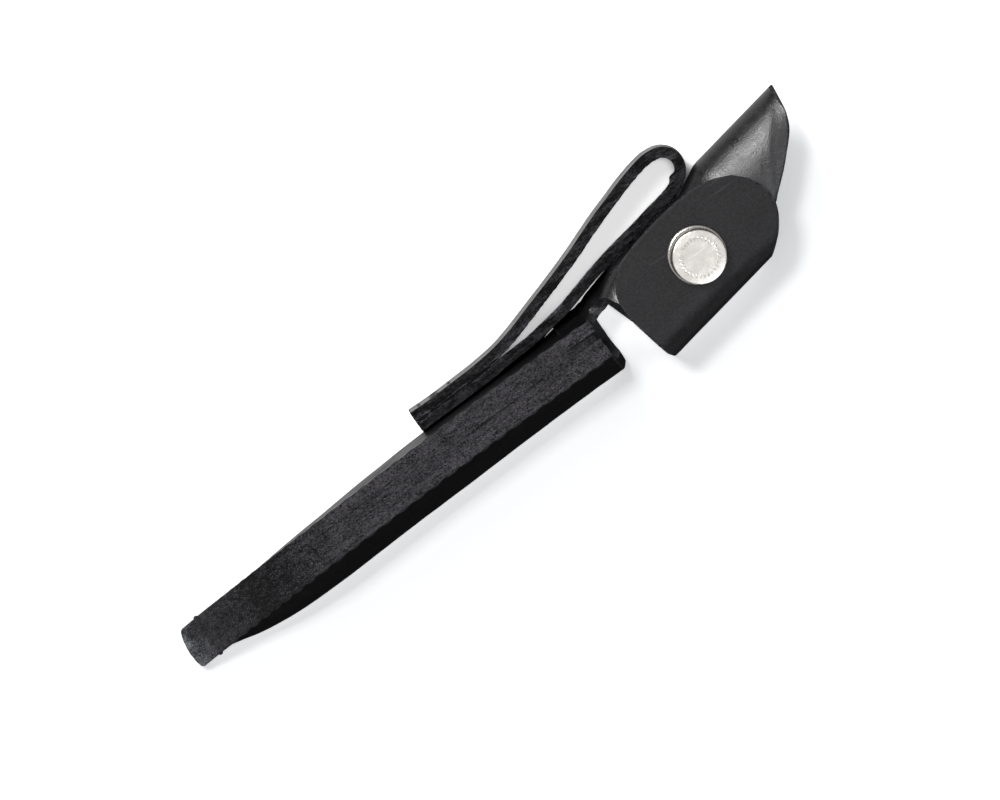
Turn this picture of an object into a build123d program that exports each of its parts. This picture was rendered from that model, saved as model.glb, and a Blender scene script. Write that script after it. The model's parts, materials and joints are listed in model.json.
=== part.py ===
from build123d import *
import math
import os

# An empty leather sheath for a fixed-blade garden knife, lying on its folded spine with the
# sewn edge up. Millimetres: X runs from the tip to the handle keeper, +Y is the belt side.

# ---- Leather ----
leather = 3.1
strap_leather = 2.8
strap_slit = 0.12
strap_clearance = 0.16
welt_leather = 2.25
half_stack = leather + welt_leather

# ---- Pouch ----
throat_x = 128.2
edge_height = 48.0
welt_width = 9.0
rest_half_width = 2.6
seam_start_y = -0.95
seam_end_y = 2.8
seam_bow = 0.94
# Each station is x, height of the sewn edge, front bulge and back bulge.
stations = [
    (-1.9, 7.5, 0.0, 0.0),
    (3.75, 13.8, 0.0, 0.0),
    (9.5, 19.8, 0.8, 0.0),
    (15.75, 25.8, 2.6, 0.0),
    (26.0, 37.2, 4.2, 0.1),
    (34.0, 43.4, 4.8, 0.4),
    (43.0, 47.5, 5.0, 0.8),
    (60.0, edge_height, 5.0, 1.4),
    (85.0, edge_height, 4.9, 1.85),
    (110.0, edge_height, 4.5, 1.85),
    (134.0, edge_height, 4.4, 1.85),
]
# The panels lie flat against the welts this far down, and swell out below it. Each share is
# how high a point is on the swelling part, and how much of the bulge it takes.
flat_depth = 6.5
side_shares = [(0.9, 0.16), (0.7, 0.7), (0.42, 1.0), (0.13, 0.6)]

# ---- Handle keeper, in its own frame: a along the handle, u from front to back ----
keeper_origin = (140.5, -11.875, 0)
keeper_turn = 10.33
front_split_z = 35.5
back_split_z = 29.0
under_top_z = 35.9
flap_gap = 2.6
snap_bottom_z = under_top_z + flap_gap
snap_top_z = snap_bottom_z + leather
front_bend = 5.0
back_bend = 6.4
# The neck steps out from the pouch's back, and the back wall flares past the belt loop.
back_wall_corners = [(120.0, 9.35), (131.4, 10.2), (140.6, 16.1), (165.6, 20.7), (172.9, 24.75), (206.0, 30.8)]
back_wall_bend = 7.0

# ---- Belt loop ----
loop_width = 28.6
loop_start_x = 78.3
sewn_end_x = 92.0
loop_box_low = (81.2, 9.4)
# The strap's middle line past the sewn end, in plan, and the radius of every bend on it.
strap_rise = [
    (108.0, 11.9),
    (124.0, 14.4),
    (142.0, 18.8),
    (171.0, 24.6),
    (167.8, 34.1),
    (154.0, 31.0),
    (136.0, 24.4),
    (118.0, 18.5),
    (105.0, 15.1),
]
strap_bends = [40, 40, 40, 40, 4.3, 4.1, 30, 60, 40, 40, 30]
loop_box_high = (90.6, 24.6)

# ---- Snap fastener ----
snap_place = (22.25, 13.75)
cap_radius = 7.6
cap_height = 2.9
metal = 0.45
barrel_radius = 1.5
eyelet_radius = 1.2

# ---- Thread ----
stitch_pitch = 5.08
stitch_length = 3.7
thread_width = 0.9
thread_height = 0.5
thread_lift = 0.14
stitch_inset = 4.0
thread_end_place = (4.2, 8.2)
thread_end_radius = 0.55
thread_end_length = 0.7

keeper = Location(keeper_origin, (0, 0, keeper_turn))


def seam_y(x):
    """Y of the middle of the sewn edge, which is bowed slightly towards the belt."""
    share = x / 128.0
    return seam_start_y + (seam_end_y - seam_start_y) * share + 4 * seam_bow * share * (1 - share)


def pouch_section(x, edge, front, back, inset, top):
    """Closed outline of the pouch at one station, inset from its outer faces."""
    half = half_stack - inset
    flat = max(edge - flat_depth, 0.55 * edge)
    middle = seam_y(x)
    foot = rest_half_width - 0.4 * inset
    front_side = [(middle - half, flat)]
    back_side = [(middle + half, flat)]
    for share, swell in side_shares:
        front_side.append((middle - half - front * swell, inset + share * (flat - inset)))
        back_side.append((middle + half + back * swell, inset + share * (flat - inset)))
    front_side.append((middle - foot, inset))
    back_side.append((middle + foot, inset))
    back_side.reverse()
    rim = Polyline(back_side[-1], (middle + half, top), (middle - half, top), front_side[0])
    front_curve = Spline(*front_side, tangents=[(0, -1), (1, -0.1)])
    back_curve = Spline(*back_side, tangents=[(1, 0.1), (0, 1)])
    edges = [front_curve, Line(front_side[-1], back_side[0]), back_curve, rim]
    return Plane.YZ.offset(x) * make_face(edges)


def pouch_volume(inset, above):
    """The pouch as one lump, inset from its outer faces and carried above the edge."""
    sections = []
    for x, edge, front, back in stations:
        sections.append(pouch_section(x, edge, front, back, inset, edge + above))
    return loft(sections, ruled=True)


def side_prism(outline, half_width=60.0):
    """A prism across the sheath from a closed outline in X and Z."""
    face = Plane.XZ * make_face(outline)
    return extrude(face, amount=half_width, both=True)


def edge_points(inset):
    """Points along the sewn edge, moved inset in from it, from the tip to the throat."""
    points = []
    for before, here, after in zip(stations, stations[1:], stations[2:]):
        dx = after[0] - before[0]
        dz = after[1] - before[1]
        length = math.hypot(dx, dz)
        points.append((here[0] + inset * dz / length, here[1] - inset * dx / length))
    points.append((stations[-1][0], stations[-1][1] - inset))
    return points


def welt_zone():
    """Everything outside the line where the welts end, towards the sewn edge."""
    inner = edge_points(welt_width)
    start = (inner[0][0] - 4.0, -4.0)
    curve = Spline((start[0], start[1]), *inner)
    last = (150.0, inner[-1][1])
    rim = Polyline(inner[-1], last, (150.0, 70.0), (-20.0, 70.0), (-20.0, -4.0), start)
    return side_prism([curve, rim])


def beyond_throat():
    """Everything past the mouth of the pouch, which stands a little prouder at the spine."""
    mouth = Spline((throat_x, 60.0), (throat_x, 46.0), (throat_x + 2.0, 24.0), (throat_x + 4.2, 6.0), (throat_x + 3.6, -3.0))
    rim = Polyline(mouth @ 1, (160.0, -3.0), (160.0, 60.0), mouth @ 0)
    return side_prism([mouth, rim])


def back_wall_path(inset):
    """Outer line, in plan, of the neck and the keeper's back wall, moved forward by inset."""
    corners = [Vector(x, y) for x, y in back_wall_corners]
    moved = []
    for number, corner in enumerate(corners):
        before = corners[max(number - 1, 0)]
        after = corners[min(number + 1, len(corners) - 1)]
        first = (corner - before).normalized() if number > 0 else (after - corner).normalized()
        second = (after - corner).normalized() if number < len(corners) - 1 else first
        way = (first + second).normalized()
        side = Vector(way.Y, -way.X)
        moved.append(corner + side * (inset / way.dot(first)))
    return FilletPolyline(*moved, radius=back_wall_bend)


def inside_back_wall(inset):
    """Plan area in front of the back wall's outer line moved forward by inset."""
    line = back_wall_path(inset)
    rim = Polyline(line @ 1, (line @ 1 + Vector(20, -80)), (line @ 0 + Vector(0, -60)), line @ 0)
    return make_face([line, rim])


def make_neck_and_back():
    """Neck above the pouch's back panel and the back wall of the keeper."""
    strip = inside_back_wall(0.0) - inside_back_wall(leather)
    wall = extrude(strip, amount=back_split_z)
    throat_side = (122.0, 8.0)
    outline = Polyline(
        throat_side,
        (122.0, 31.0),
        (200.6, 31.0),
        (200.6, 24.0),
        (195.0, 13.0),
        (186.0, 2.0),
        (183.0, -1.0),
        (138.0, -1.0),
        (136.8, 4.0),
        (134.5, 7.6),
        (131.0, 8.0),
        throat_side,
    )
    return wall & side_prism([outline])


def wing_section(top, depth, split, bend):
    """Side view, in u and z, of leather that turns a bend from a wall to the keeper's top."""
    outer = [Line((0, split), (0, top - bend)), RadiusArc((0, top - bend), (bend, top), bend), Line((bend, top), (depth, top))]
    low = top - leather
    inside_bend = bend - leather
    inner = [
        Line((depth, low), (bend, low)),
        RadiusArc((bend, low), (leather, top - bend), -inside_bend),
        Line((leather, top - bend), (leather, split)),
    ]
    ends = [Line((depth, top), (depth, low)), Line((leather, split), (0, split))]
    return make_face(outer + inner + ends)


def make_keeper_walls():
    """Floor and front wall of the keeper, which the snap wing wraps round the handle."""
    section = mirror(wing_section(0, 40.0, -front_split_z, front_bend), Plane.XZ)
    strip = keeper * Pos(-4, 0, 0) * extrude(Plane.YZ * section, amount=60)
    outline = Polyline((0.75, -1), (35, -1), (36, 6), (44, 24), (45, 40), (-2, 40), (-1, 20), (0.75, 6), (0.75, -1))
    plan = (keeper * make_face(outline)) & inside_back_wall(0.0)
    return strip & extrude(plan, amount=60)


def make_sheath_body():
    """Front panel, spine fold, back panel, neck and keeper walls: one folded piece of leather."""
    shell = pouch_volume(0.0, 0.0) - pouch_volume(leather, 2.0) - beyond_throat()
    return shell + make_neck_and_back() + make_keeper_walls()


def make_welts():
    """The two filler strips between the panels, which keep the blade off the thread."""
    outer = pouch_volume(0.0, 0.0)
    between = (pouch_volume(leather, 2.0) & outer & welt_zone()) - beyond_throat()
    middle_line = Spline(*[(x, seam_y(x)) for x in (-20, 10, 40, 70, 100, 150)])
    rim = Polyline(middle_line @ 1, (150, 40), (-20, 40), middle_line @ 0)
    back_half = extrude(make_face([middle_line, rim]), amount=80)
    return between - back_half, between & back_half


def make_belt_loop():
    """A strap folded back on itself, with both ends sewn to the back panel."""
    low = back_face_y(loop_start_x) + strap_leather / 2 + strap_clearance
    high = back_face_y(sewn_end_x) + strap_leather / 2 + strap_clearance
    second = strap_leather + strap_slit
    route = [(loop_start_x, low), (sewn_end_x, high)]
    route = route + strap_rise
    route = route + [(sewn_end_x, high + second), (loop_start_x, low + second)]
    centre = FilletPolyline(*route, radius=strap_bends)
    return extrude(trace(centre, strap_leather), amount=loop_width)


def back_face_y(x):
    """Y of the outer face of the back panel where it is fullest."""
    return seam_y(x) + half_stack + stations[-1][3]


def hole(radius, low, high):
    """A round hole or core on the snap's axis."""
    return Pos(snap_place[0], snap_place[1], low) * Cylinder(radius, high - low, align=(Align.CENTER, Align.CENTER, Align.MIN))


def make_snap_flap():
    """The outer leaf of the keeper, which carries the snap cap and socket."""
    section = wing_section(snap_top_z, 28.0, front_split_z, front_bend)
    strip = extrude(Plane.YZ.offset(-4) * section, amount=54)
    leaf_line = Spline(
        (0.75, -0.5),
        (-0.6, 3.0),
        (-1.0, 12.0),
        (0.4, 20.0),
        (3.6, 24.2),
        (9.5, 26.6),
        (20.0, 27.35),
        (31.0, 26.6),
        (39.5, 24.0),
        (44.8, 18.5),
        (46.0, 12.0),
        (43.4, 6.2),
        (38.5, 2.2),
        (35.0, -0.5),
    )
    leaf = make_face([leaf_line, Line(leaf_line @ 1, leaf_line @ 0)])
    flap = strip & extrude(leaf, amount=60)
    return keeper * (flap - hole(barrel_radius, 30, 50))


def make_under_flap():
    """The inner leaf of the keeper, which carries the stud and tapers past the snap leaf."""
    thickness = under_top_z - back_split_z
    outer = Pos(0, 0, back_split_z) * extrude(inside_back_wall(0.0), amount=thickness)
    inner = Pos(0, 0, back_split_z) * extrude(inside_back_wall(leather), amount=thickness - leather)
    outer = fillet(back_top_edges(outer, under_top_z, 0.0), back_bend)
    inner = fillet(back_top_edges(inner, under_top_z - leather, leather), back_bend - leather)
    leaf_line = Spline(
        (66.4, 33.0),
        (66.3, 29.0),
        (65.0, 25.0),
        (61.0, 20.0),
        (54.0, 13.8),
        (45.0, 8.2),
        (34.0, 5.4),
        (20.0, 5.0),
        (8.0, 6.0),
        (2.5, 10.0),
        (-0.6, 17.0),
        (-2.0, 23.0),
        (-2.4, 33.0),
    )
    leaf = make_face([leaf_line, Line(leaf_line @ 1, leaf_line @ 0)])
    flap = (outer - inner) & (keeper * extrude(leaf, amount=60))
    return flap - keeper * hole(eyelet_radius, 20, 50)


def back_top_edges(solid, top, inset):
    """The chain of top edges that follows the back wall's line."""
    line = back_wall_path(inset)
    chosen = []
    for edge in solid.edges():
        middle = edge @ 0.5
        if abs(middle.Z - top) > 0.01:
            continue
        if line.distance_to(Vertex(middle.X, middle.Y, 0)) < 0.05:
            chosen.append(edge)
    return chosen


def turned(profile):
    """A round snap part from its half profile, in radius and height above the under flap."""
    outline = Polyline(*profile, profile[0])
    solid = revolve(Plane.XZ * make_face(outline), Axis.Z)
    return keeper * Pos(snap_place[0], snap_place[1], under_top_z) * solid


def make_snap():
    """The six pressed metal pieces of a spring snap, from the cap down to the eyelet."""
    low = flap_gap
    top = flap_gap + leather
    dome = []
    for step in range(7):
        share = step / 6
        dome.append((cap_radius * share, top + 0.9 + (cap_height - 0.9) * (1 - share ** 2)))
    lining = [(radius - metal * (step / 6), height - metal) for step, (radius, height) in enumerate(dome)]
    lining.reverse()
    rim_radius = cap_radius - 1.4
    cap = dome + [(cap_radius, top), (rim_radius, top), (rim_radius, top + metal)]
    cap = cap + lining
    barrel = [
        (barrel_radius - metal, top + metal),
        (rim_radius, top + metal),
        (rim_radius, top),
        (barrel_radius, top),
        (barrel_radius, 2.15),
        (2.1, 2.15),
        (2.1, 1.95),
        (barrel_radius - metal, 1.95),
    ]
    socket = [(barrel_radius, 2.15), (barrel_radius, low), (5.8, low), (5.8, 2.2), (4.2, 2.2), (4.2, 0.9)]
    socket = socket + [(2.4, 0.9), (2.4, 1.25), (3.1, 1.25), (3.1, 2.15)]
    spring = [(2.25, 1.25), (2.75, 1.25), (2.75, 1.75), (2.25, 1.75)]
    stud = [(eyelet_radius, 0), (4.8, 0), (4.8, metal), (1.6, metal), (1.6, 0.95), (1.95, 1.2)]
    stud = stud + [(1.95, 1.5), (1.6, 1.75), (0, 1.75), (0, 1.3), (eyelet_radius, 1.3)]
    eyelet = [(0.8, 1.2), (eyelet_radius, 1.2), (eyelet_radius, -leather), (5.0, -leather)]
    eyelet = eyelet + [(5.0, -leather - metal), (0.8, -leather - metal)]
    return {
        "snap_cap": turned(cap),
        "cap_barrel": turned(barrel),
        "snap_socket": turned(socket),
        "socket_spring": turned(spring),
        "snap_stud": turned(stud),
        "stud_eyelet": turned(eyelet),
    }


def edge_stitches(side):
    """Stitches of the edge seam on one face: side is -1 for the front and 1 for the back."""
    seam = Spline(*edge_points(stitch_inset))
    count = int((seam.length - 4.0) / stitch_pitch)
    stitches = []
    for number in range(count):
        share = (3.0 + number * stitch_pitch) / seam.length
        place = seam @ share
        way = seam % share
        if place.X > throat_x - 3.0:
            continue
        slope = math.degrees(math.atan2(way.Y, way.X))
        y = seam_y(place.X) + side * (half_stack + thread_height / 2 + thread_lift)
        stitch = Box(stitch_length, thread_height, thread_width)
        stitches.append(Location((place.X, y, place.Y), (0, -slope, 0)) * stitch)
    return stitches


def thread_ends():
    """The two melted thread ends at the tip, one on each face."""
    x, z = thread_end_place
    knots = []
    for side in (-1, 1):
        y = seam_y(x) + side * (half_stack + thread_end_length / 2 + thread_lift)
        knots.append(Location((x, y, z), (90, 0, 0)) * Cylinder(thread_end_radius, thread_end_length))
    return knots


def box_stitches(y_of):
    """The belt loop's stitches, round a rectangle in X and Z, on the face at y_of(x, z)."""
    low_x, low_z = loop_box_low
    high_x, high_z = loop_box_high
    stitches = []
    across = int((high_x - low_x) / stitch_pitch)
    up = int((high_z - low_z) / stitch_pitch)
    for number in range(across):
        x = low_x + (number + 0.5) * (high_x - low_x) / across
        for z in (low_z, high_z):
            stitches.append(Pos(x, y_of(x, z), z) * Box(stitch_length * 0.9, thread_height, thread_width))
    for number in range(up):
        z = low_z + (number + 0.5) * (high_z - low_z) / up
        for x in (low_x, high_x):
            y = y_of(x, z - stitch_length / 2)
            stitches.append(Pos(x, y, z) * Box(thread_width, thread_height, stitch_length))
    return stitches


def strap_outer_y(x, z):
    """Y of the outer strand's outer face in the sewn zone."""
    return back_face_y(x) + strap_clearance + 2 * strap_leather + strap_slit


def lining_y(x, z):
    """Y just inside the back panel's lining."""
    share = (z - leather) / (edge_height - flat_depth - leather)
    swell = 0.0
    steps = [(1.0, 0.0)] + side_shares
    for above, below in zip(steps, steps[1:]):
        if below[0] <= share <= above[0]:
            swell = below[1] + (above[1] - below[1]) * (share - below[0]) / (above[0] - below[0])
    return seam_y(x) + half_stack - leather + stations[-1][3] * swell - thread_lift


def make_threads():
    """Lockstitched thread: what shows on each face of the edge seam and of the belt loop's box."""
    lift = thread_height / 2 + thread_lift
    return {
        "edge_needle_thread": edge_stitches(-1),
        "edge_bobbin_thread": edge_stitches(1),
        "thread_ends": thread_ends(),
        "loop_needle_thread": box_stitches(lambda x, z: strap_outer_y(x, z) + lift),
        "loop_bobbin_thread": box_stitches(lambda x, z: lining_y(x, z) - lift),
    }


parts = {"sheath_body": make_sheath_body()}
parts["welt_front"], parts["welt_back"] = make_welts()
parts["belt_loop"] = make_belt_loop()
parts["snap_flap"] = make_snap_flap()
parts["under_flap"] = make_under_flap()
parts.update(make_snap())
parts.update(make_threads())

solids = {}
for name, part in parts.items():
    pieces = []
    for piece in part if isinstance(part, list) else [part]:
        pieces.extend(piece.solids())
    solids[name] = Compound(pieces)

whole = Compound(list(solids.values())).bounding_box()
shift = Pos(-(whole.min.X + whole.max.X) / 2, -(whole.min.Y + whole.max.Y) / 2, -whole.min.Z)
print("moved by", shift.position)
for name, solid in solids.items():
    export_step(shift * solid, f"parts/{name}.step")
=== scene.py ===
import json
import math
from bisect import bisect
from itertools import accumulate

import bmesh
import bpy
from mathutils import Matrix, Vector, noise

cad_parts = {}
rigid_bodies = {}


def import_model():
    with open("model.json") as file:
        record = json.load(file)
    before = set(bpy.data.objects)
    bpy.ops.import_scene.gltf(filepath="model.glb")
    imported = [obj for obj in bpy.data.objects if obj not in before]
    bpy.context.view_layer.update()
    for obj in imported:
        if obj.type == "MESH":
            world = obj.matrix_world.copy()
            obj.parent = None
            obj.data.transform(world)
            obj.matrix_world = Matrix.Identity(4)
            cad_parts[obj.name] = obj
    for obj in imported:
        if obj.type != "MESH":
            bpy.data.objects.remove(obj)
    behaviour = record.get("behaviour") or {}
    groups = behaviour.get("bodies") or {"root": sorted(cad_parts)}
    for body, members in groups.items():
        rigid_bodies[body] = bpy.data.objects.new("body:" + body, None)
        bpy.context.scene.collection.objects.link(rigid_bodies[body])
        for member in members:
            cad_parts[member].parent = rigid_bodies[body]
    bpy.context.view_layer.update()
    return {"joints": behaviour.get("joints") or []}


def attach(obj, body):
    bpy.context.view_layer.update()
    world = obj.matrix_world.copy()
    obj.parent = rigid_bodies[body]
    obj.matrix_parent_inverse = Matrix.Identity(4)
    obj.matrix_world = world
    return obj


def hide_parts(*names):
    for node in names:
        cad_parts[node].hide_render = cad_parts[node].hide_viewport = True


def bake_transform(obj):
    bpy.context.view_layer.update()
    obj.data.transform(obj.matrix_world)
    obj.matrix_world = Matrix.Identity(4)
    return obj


bl_info = {
    "name": "Leather Knife Sheath",
    "version": (1, 0, 0),
    "blender": (4, 5, 0),
    "location": "View3D > Sidebar > Sheath",
    "description": "Dresses the frame of a leather knife sheath with a belt loop and a snap keeper",
    "category": "Object",
}

for spare in list(bpy.data.objects):
    bpy.data.objects.remove(spare)

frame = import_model()

MM = 0.001

# ---- Bench sizes ----

# In millimetres: x runs from the tip to the keeper, y towards the belt, and z up from the fold.
LEATHER = 3.1
STRAP = 2.8
RIM = 0.42
WELT = 2.25
HALF_STACK = LEATHER + WELT
TIP_X = -1.9
MOUTH_X = 128
THROAT = 128.2
EDGE_Z = 48
EDGE_AT_TIP = -0.95
EDGE_SLANT = 3.75
EDGE_BOW = 3.76
FLAT_DEPTH = 6.5
BACK_SWELL = 1.85
FOOT = 2.6
WELT_DEPTH = 9

# The edge seam, and how deep and how wide its groove and each stitch's dent are.
SEAM_TIP_X = 3.75
SEAM_STEP = 0.25
SEAM_INSET = 4
SEAM_START = 3
GROOVE = (0.16, 0.75)
DENT = (0.42, 0.95)

# The keeper's own frame has a along the handle and u from its front to its back.
KEEPER_CORNER = (140.5, -11.875)
HINGE_A = 22
UNDER_TOP = 35.9
SNAP_TOP = 41.6
FRONT_BEND = 5
WALL_START = 0.3
WALL_WIDE = 35.3
FOOT_TURN = 3.6
SNAP_A = 22.25
SNAP_U = 13.75
CAP_SEAT = SNAP_TOP - UNDER_TOP

# The belt loop, and the box of stitches that holds it: low x, low z, high x and high z.
LOOP_START = 78.3
LOOP_SEWN = 92
LOOP_WIDTH = 28.6
LOOP_GAP = 0.16
LOOP_SLIT = 0.12
LOOP_BOX = (81.2, 9.4, 90.6, 24.6)

joints = {joint["name"]: joint for joint in frame["joints"]}
snap_hinge = joints["snap_flap_hinge"]
along_keeper = Vector(snap_hinge["axis"]).normalized()
across_keeper = Vector((-along_keeper.y, along_keeper.x, 0))
keeper_corner = Vector(snap_hinge["pos_m"]) - along_keeper * HINGE_A * MM
keeper_corner.z = 0
bench_origin = keeper_corner - Vector((KEEPER_CORNER[0], KEEPER_CORNER[1], 0)) * MM


def place(x, y, z):
    """A point on the bench as a point in the frame, in metres."""
    return bench_origin + Vector((x, y, z)) * MM


def keeper_place(a, u, z):
    """A point in the keeper's own frame as a point in the frame, in metres."""
    return keeper_corner + (along_keeper * a + across_keeper * u) * MM + Vector((0, 0, z * MM))


def keeper_plan(x, y):
    """A bench point's a and u in the keeper's own frame."""
    offset = Vector((x - KEEPER_CORNER[0], y - KEEPER_CORNER[1], 0))
    return offset.dot(along_keeper), offset.dot(across_keeper)


# ---- Curves ----


def eased(points):
    """A smooth function through (x, y) points that never overshoots them."""
    xs, ys = zip(*points)
    steps = [(y1 - y0) / (x1 - x0) for x0, x1, y0, y1 in zip(xs, xs[1:], ys, ys[1:])]
    slopes = [steps[0]]
    for left, right in zip(steps, steps[1:]):
        slopes.append(2 * left * right / (left + right) if left * right > 0 else 0)
    slopes.append(steps[-1])

    def value(x):
        if x <= xs[0]:
            return ys[0] + slopes[0] * (x - xs[0])
        if x >= xs[-1]:
            return ys[-1] + slopes[-1] * (x - xs[-1])
        number = bisect(xs, x) - 1
        width = xs[number + 1] - xs[number]
        t = (x - xs[number]) / width
        start = (1 + 2 * t) * (1 - t) ** 2 * ys[number] + t * (1 - t) ** 2 * width * slopes[number]
        end = t * t * (3 - 2 * t) * ys[number + 1] + t * t * (t - 1) * width * slopes[number + 1]
        return start + end

    return value


def ramp(value, low, high):
    """0 below low, 1 above high, and smooth between."""
    t = min(1, max(0, (value - low) / (high - low)))
    return t * t * (3 - 2 * t)


def hump(value, middle, width):
    """1 at middle, falling to nothing about twice the width away."""
    return math.exp(-(((value - middle) / width) ** 2))


def rough(x, y, z, size, seed=0):
    """Smooth noise from -1 to 1 with lumps about size millimetres across."""
    return noise.noise(Vector((x / size + seed, y / size - seed, z / size + 2 * seed)))


def part_way(first, last, t):
    """The point a share t of the way from first to last."""
    return tuple(a + (b - a) * t for a, b in zip(first, last))


def row_at(keys, rows, key):
    """The row at a key, between the rows beside it; the keys rise."""
    number = min(max(bisect(keys, key) - 1, 0), len(keys) - 2)
    t = (key - keys[number]) / max(keys[number + 1] - keys[number], 1e-9)
    return part_way(rows[number], rows[number + 1], min(1, max(0, t)))


def lengths_along(path):
    """The length of a line of points up to each of them."""
    return list(accumulate(map(math.dist, path, path[1:]), initial=0))


def even_path(points, count):
    """count + 1 points, evenly spaced along a line of points."""
    lengths = lengths_along(points)
    return [row_at(lengths, points, lengths[-1] * step / count) for step in range(count + 1)]


def smooth_path(points, count):
    """count + 1 points, evenly spaced along a smooth line through points."""
    padded = [points[0]] + list(points) + [points[-1]]
    fine = []
    for p0, p1, p2, p3 in zip(padded, padded[1:], padded[2:], padded[3:]):
        for step in range(10):
            t = step / 10
            spot = []
            for a, b, c, d in zip(p0, p1, p2, p3):
                bend = (c - a) * t + (2 * a - 5 * b + 4 * c - d) * t * t + (3 * b - a - 3 * c + d) * t ** 3
                spot.append(b + 0.5 * bend)
            fine.append(tuple(spot))
    fine.append(tuple(points[-1]))
    return even_path(fine, count)


def filleted(points, radius):
    """A line through points whose inner corners are rounded to a radius."""
    line = [tuple(points[0])]
    for number in range(1, len(points) - 1):
        corner = Vector(points[number])
        back = (Vector(points[number - 1]) - corner).normalized()
        ahead = (Vector(points[number + 1]) - corner).normalized()
        half_angle = back.angle(ahead) / 2
        reach = radius / math.tan(half_angle)
        middle = corner + (back + ahead).normalized() * (radius / math.sin(half_angle))
        first = corner + back * reach - middle
        last = corner + ahead * reach - middle
        for step in range(13):
            t = step / 12
            spoke = first.lerp(last, t).normalized() * radius
            line.append(tuple(middle + spoke))
    line.append(tuple(points[-1]))
    return line


def on_path(path, share):
    """The point at a share, from 0 to 1, of an evenly spaced path."""
    spot = min(1, max(0, share)) * (len(path) - 1)
    number = min(int(spot), len(path) - 2)
    return part_way(path[number], path[number + 1], spot - number)


def way_on_path(path, share):
    """The direction of an evenly spaced path at a share of it."""
    step = 1.5 / (len(path) - 1)
    before = Vector(on_path(path, share - step))
    after = Vector(on_path(path, share + step))
    return (after - before).normalized()


def nearest(points, part, value):
    """The point whose first or second number, as part says, is nearest to a value."""
    return min(points, key=lambda point: abs(point[part] - value))


def patch(low, high, left, right, s, t):
    """A point inside four border paths: s runs along low and high, t along left and right."""
    a = Vector(on_path(low, s)) * (1 - t) + Vector(on_path(high, s)) * t
    b = Vector(on_path(left, t)) * (1 - s) + Vector(on_path(right, t)) * s
    bottom = Vector(low[0]) * (1 - s) + Vector(low[-1]) * s
    top = Vector(high[0]) * (1 - s) + Vector(high[-1]) * s
    return a + b - bottom * (1 - t) - top * t


# ---- Shape of the pouch ----

edge_height = eased([
    (-2.5, 6.7), (-1.9, 7.5), (3.75, 13.8), (9.5, 19.8), (15.75, 26), (21, 31.9), (26, 37.2), (34, 43.4),
    (40, 46.5), (46, EDGE_Z), (140, EDGE_Z),
])
front_bulge = eased([
    (-3, 0), (7, 0), (10, 0.9), (15.75, 2.6), (21, 3.6), (30, 4.6), (45, 5), (80, 4.9), (110, 4.5),
    (140, 4.4),
])
back_bulge = eased([
    (-3, 0), (22, 0), (34, 0.4), (45, 0.9), (62, 1.5), (80, BACK_SWELL), (140, BACK_SWELL),
])
back_flare = eased([
    (60, 0), (104, 0), (110, 0.4), (115, 0.95), (120, 1.65), (125, 2.3), (130, 3.4), (140, 5),
])
mouth_x = eased([(-3, 130.2), (6, 130.5), (12, 129.6), (24, 128.6), (46, 128.2), (60, 128.2)])


def seam_y(x):
    """The middle of the sewn edge, bowed a little towards the belt."""
    share = x / MOUTH_X
    return EDGE_AT_TIP + EDGE_SLANT * share + EDGE_BOW * share * (1 - share)


def back_face_y(x):
    """The outer face of the back panel where it is fullest."""
    return seam_y(x) + HALF_STACK + BACK_SWELL


# Points of a panel below its flat edge: shares of the height, of the swell and of the flare.
BELLY = ((0.9, 0.16, 0), (0.7, 0.7, 0.15), (0.42, 1, 1), (0.13, 0.6, 0.8))


def pouch_section(x, inset):
    """Outline of the pouch across x, in y and z, from the front edge round to the back edge."""
    edge = edge_height(x)
    half = HALF_STACK - inset
    flat = max(edge - FLAT_DEPTH, 0.55 * edge)
    middle = seam_y(x)
    sides = []
    for side, swell, flare in ((-1, front_bulge(x), 0), (1, back_bulge(x), back_flare(x))):
        face = middle + side * half
        points = [(face, edge), (face, (edge + flat) / 2), (face, flat)]
        for share, part, low in BELLY:
            points.append((face + side * (swell * part + flare * low), inset + share * (flat - inset)))
        points.append((middle + side * (FOOT - 0.4 * inset), inset))
        sides.append(points)
    sides[1].reverse()
    return smooth_path(sides[0] + [(middle, inset - 0.02)] + sides[1], 120)


# The points of a section that belong to the back panel.
BACK_HALF = slice(60, None)
SECTION_STEP = 0.6
SECTIONS_END = 134
section_count = int((SECTIONS_END - TIP_X) / SECTION_STEP) + 2
section_spots = [TIP_X + number * SECTION_STEP for number in range(section_count)]
outer_sections = [pouch_section(x, 0) for x in section_spots]
inner_sections = [pouch_section(x, LEATHER) for x in section_spots]


def pouch_point(sections, x, share):
    """y and z on the pouch's skin across x, a share of the way round."""
    spot = max(0, (x - TIP_X) / SECTION_STEP)
    number = min(int(spot), section_count - 2)
    here = on_path(sections[number], share)
    ahead = on_path(sections[number + 1], share)
    return part_way(here, ahead, spot - number)


seam_line = []
for number in range(int(THROAT / SEAM_STEP) + 30):
    spot = SEAM_TIP_X + number * SEAM_STEP
    slope = (edge_height(spot + 0.2) - edge_height(spot - 0.2)) / 0.4
    length = math.hypot(1, slope)
    seam_line.append((spot + SEAM_INSET * slope / length, edge_height(spot) - SEAM_INSET / length))
seam_lengths = lengths_along(seam_line)
seam_spots = [x for x, z in seam_line]
seam_rows = [(length, z) for length, (x, z) in zip(seam_lengths, seam_line)]


def seam_at(length):
    """x, z and slope of the seam at a length along it."""
    number = bisect(seam_lengths, length) - 1
    before, after = seam_line[number], seam_line[number + 1]
    slope = math.atan2(after[1] - before[1], after[0] - before[0])
    return *row_at(seam_lengths, seam_line, length), slope


def seam_length_at(x):
    """The length along the seam at x, and the seam's height there."""
    return row_at(seam_spots, seam_rows, x)


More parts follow.
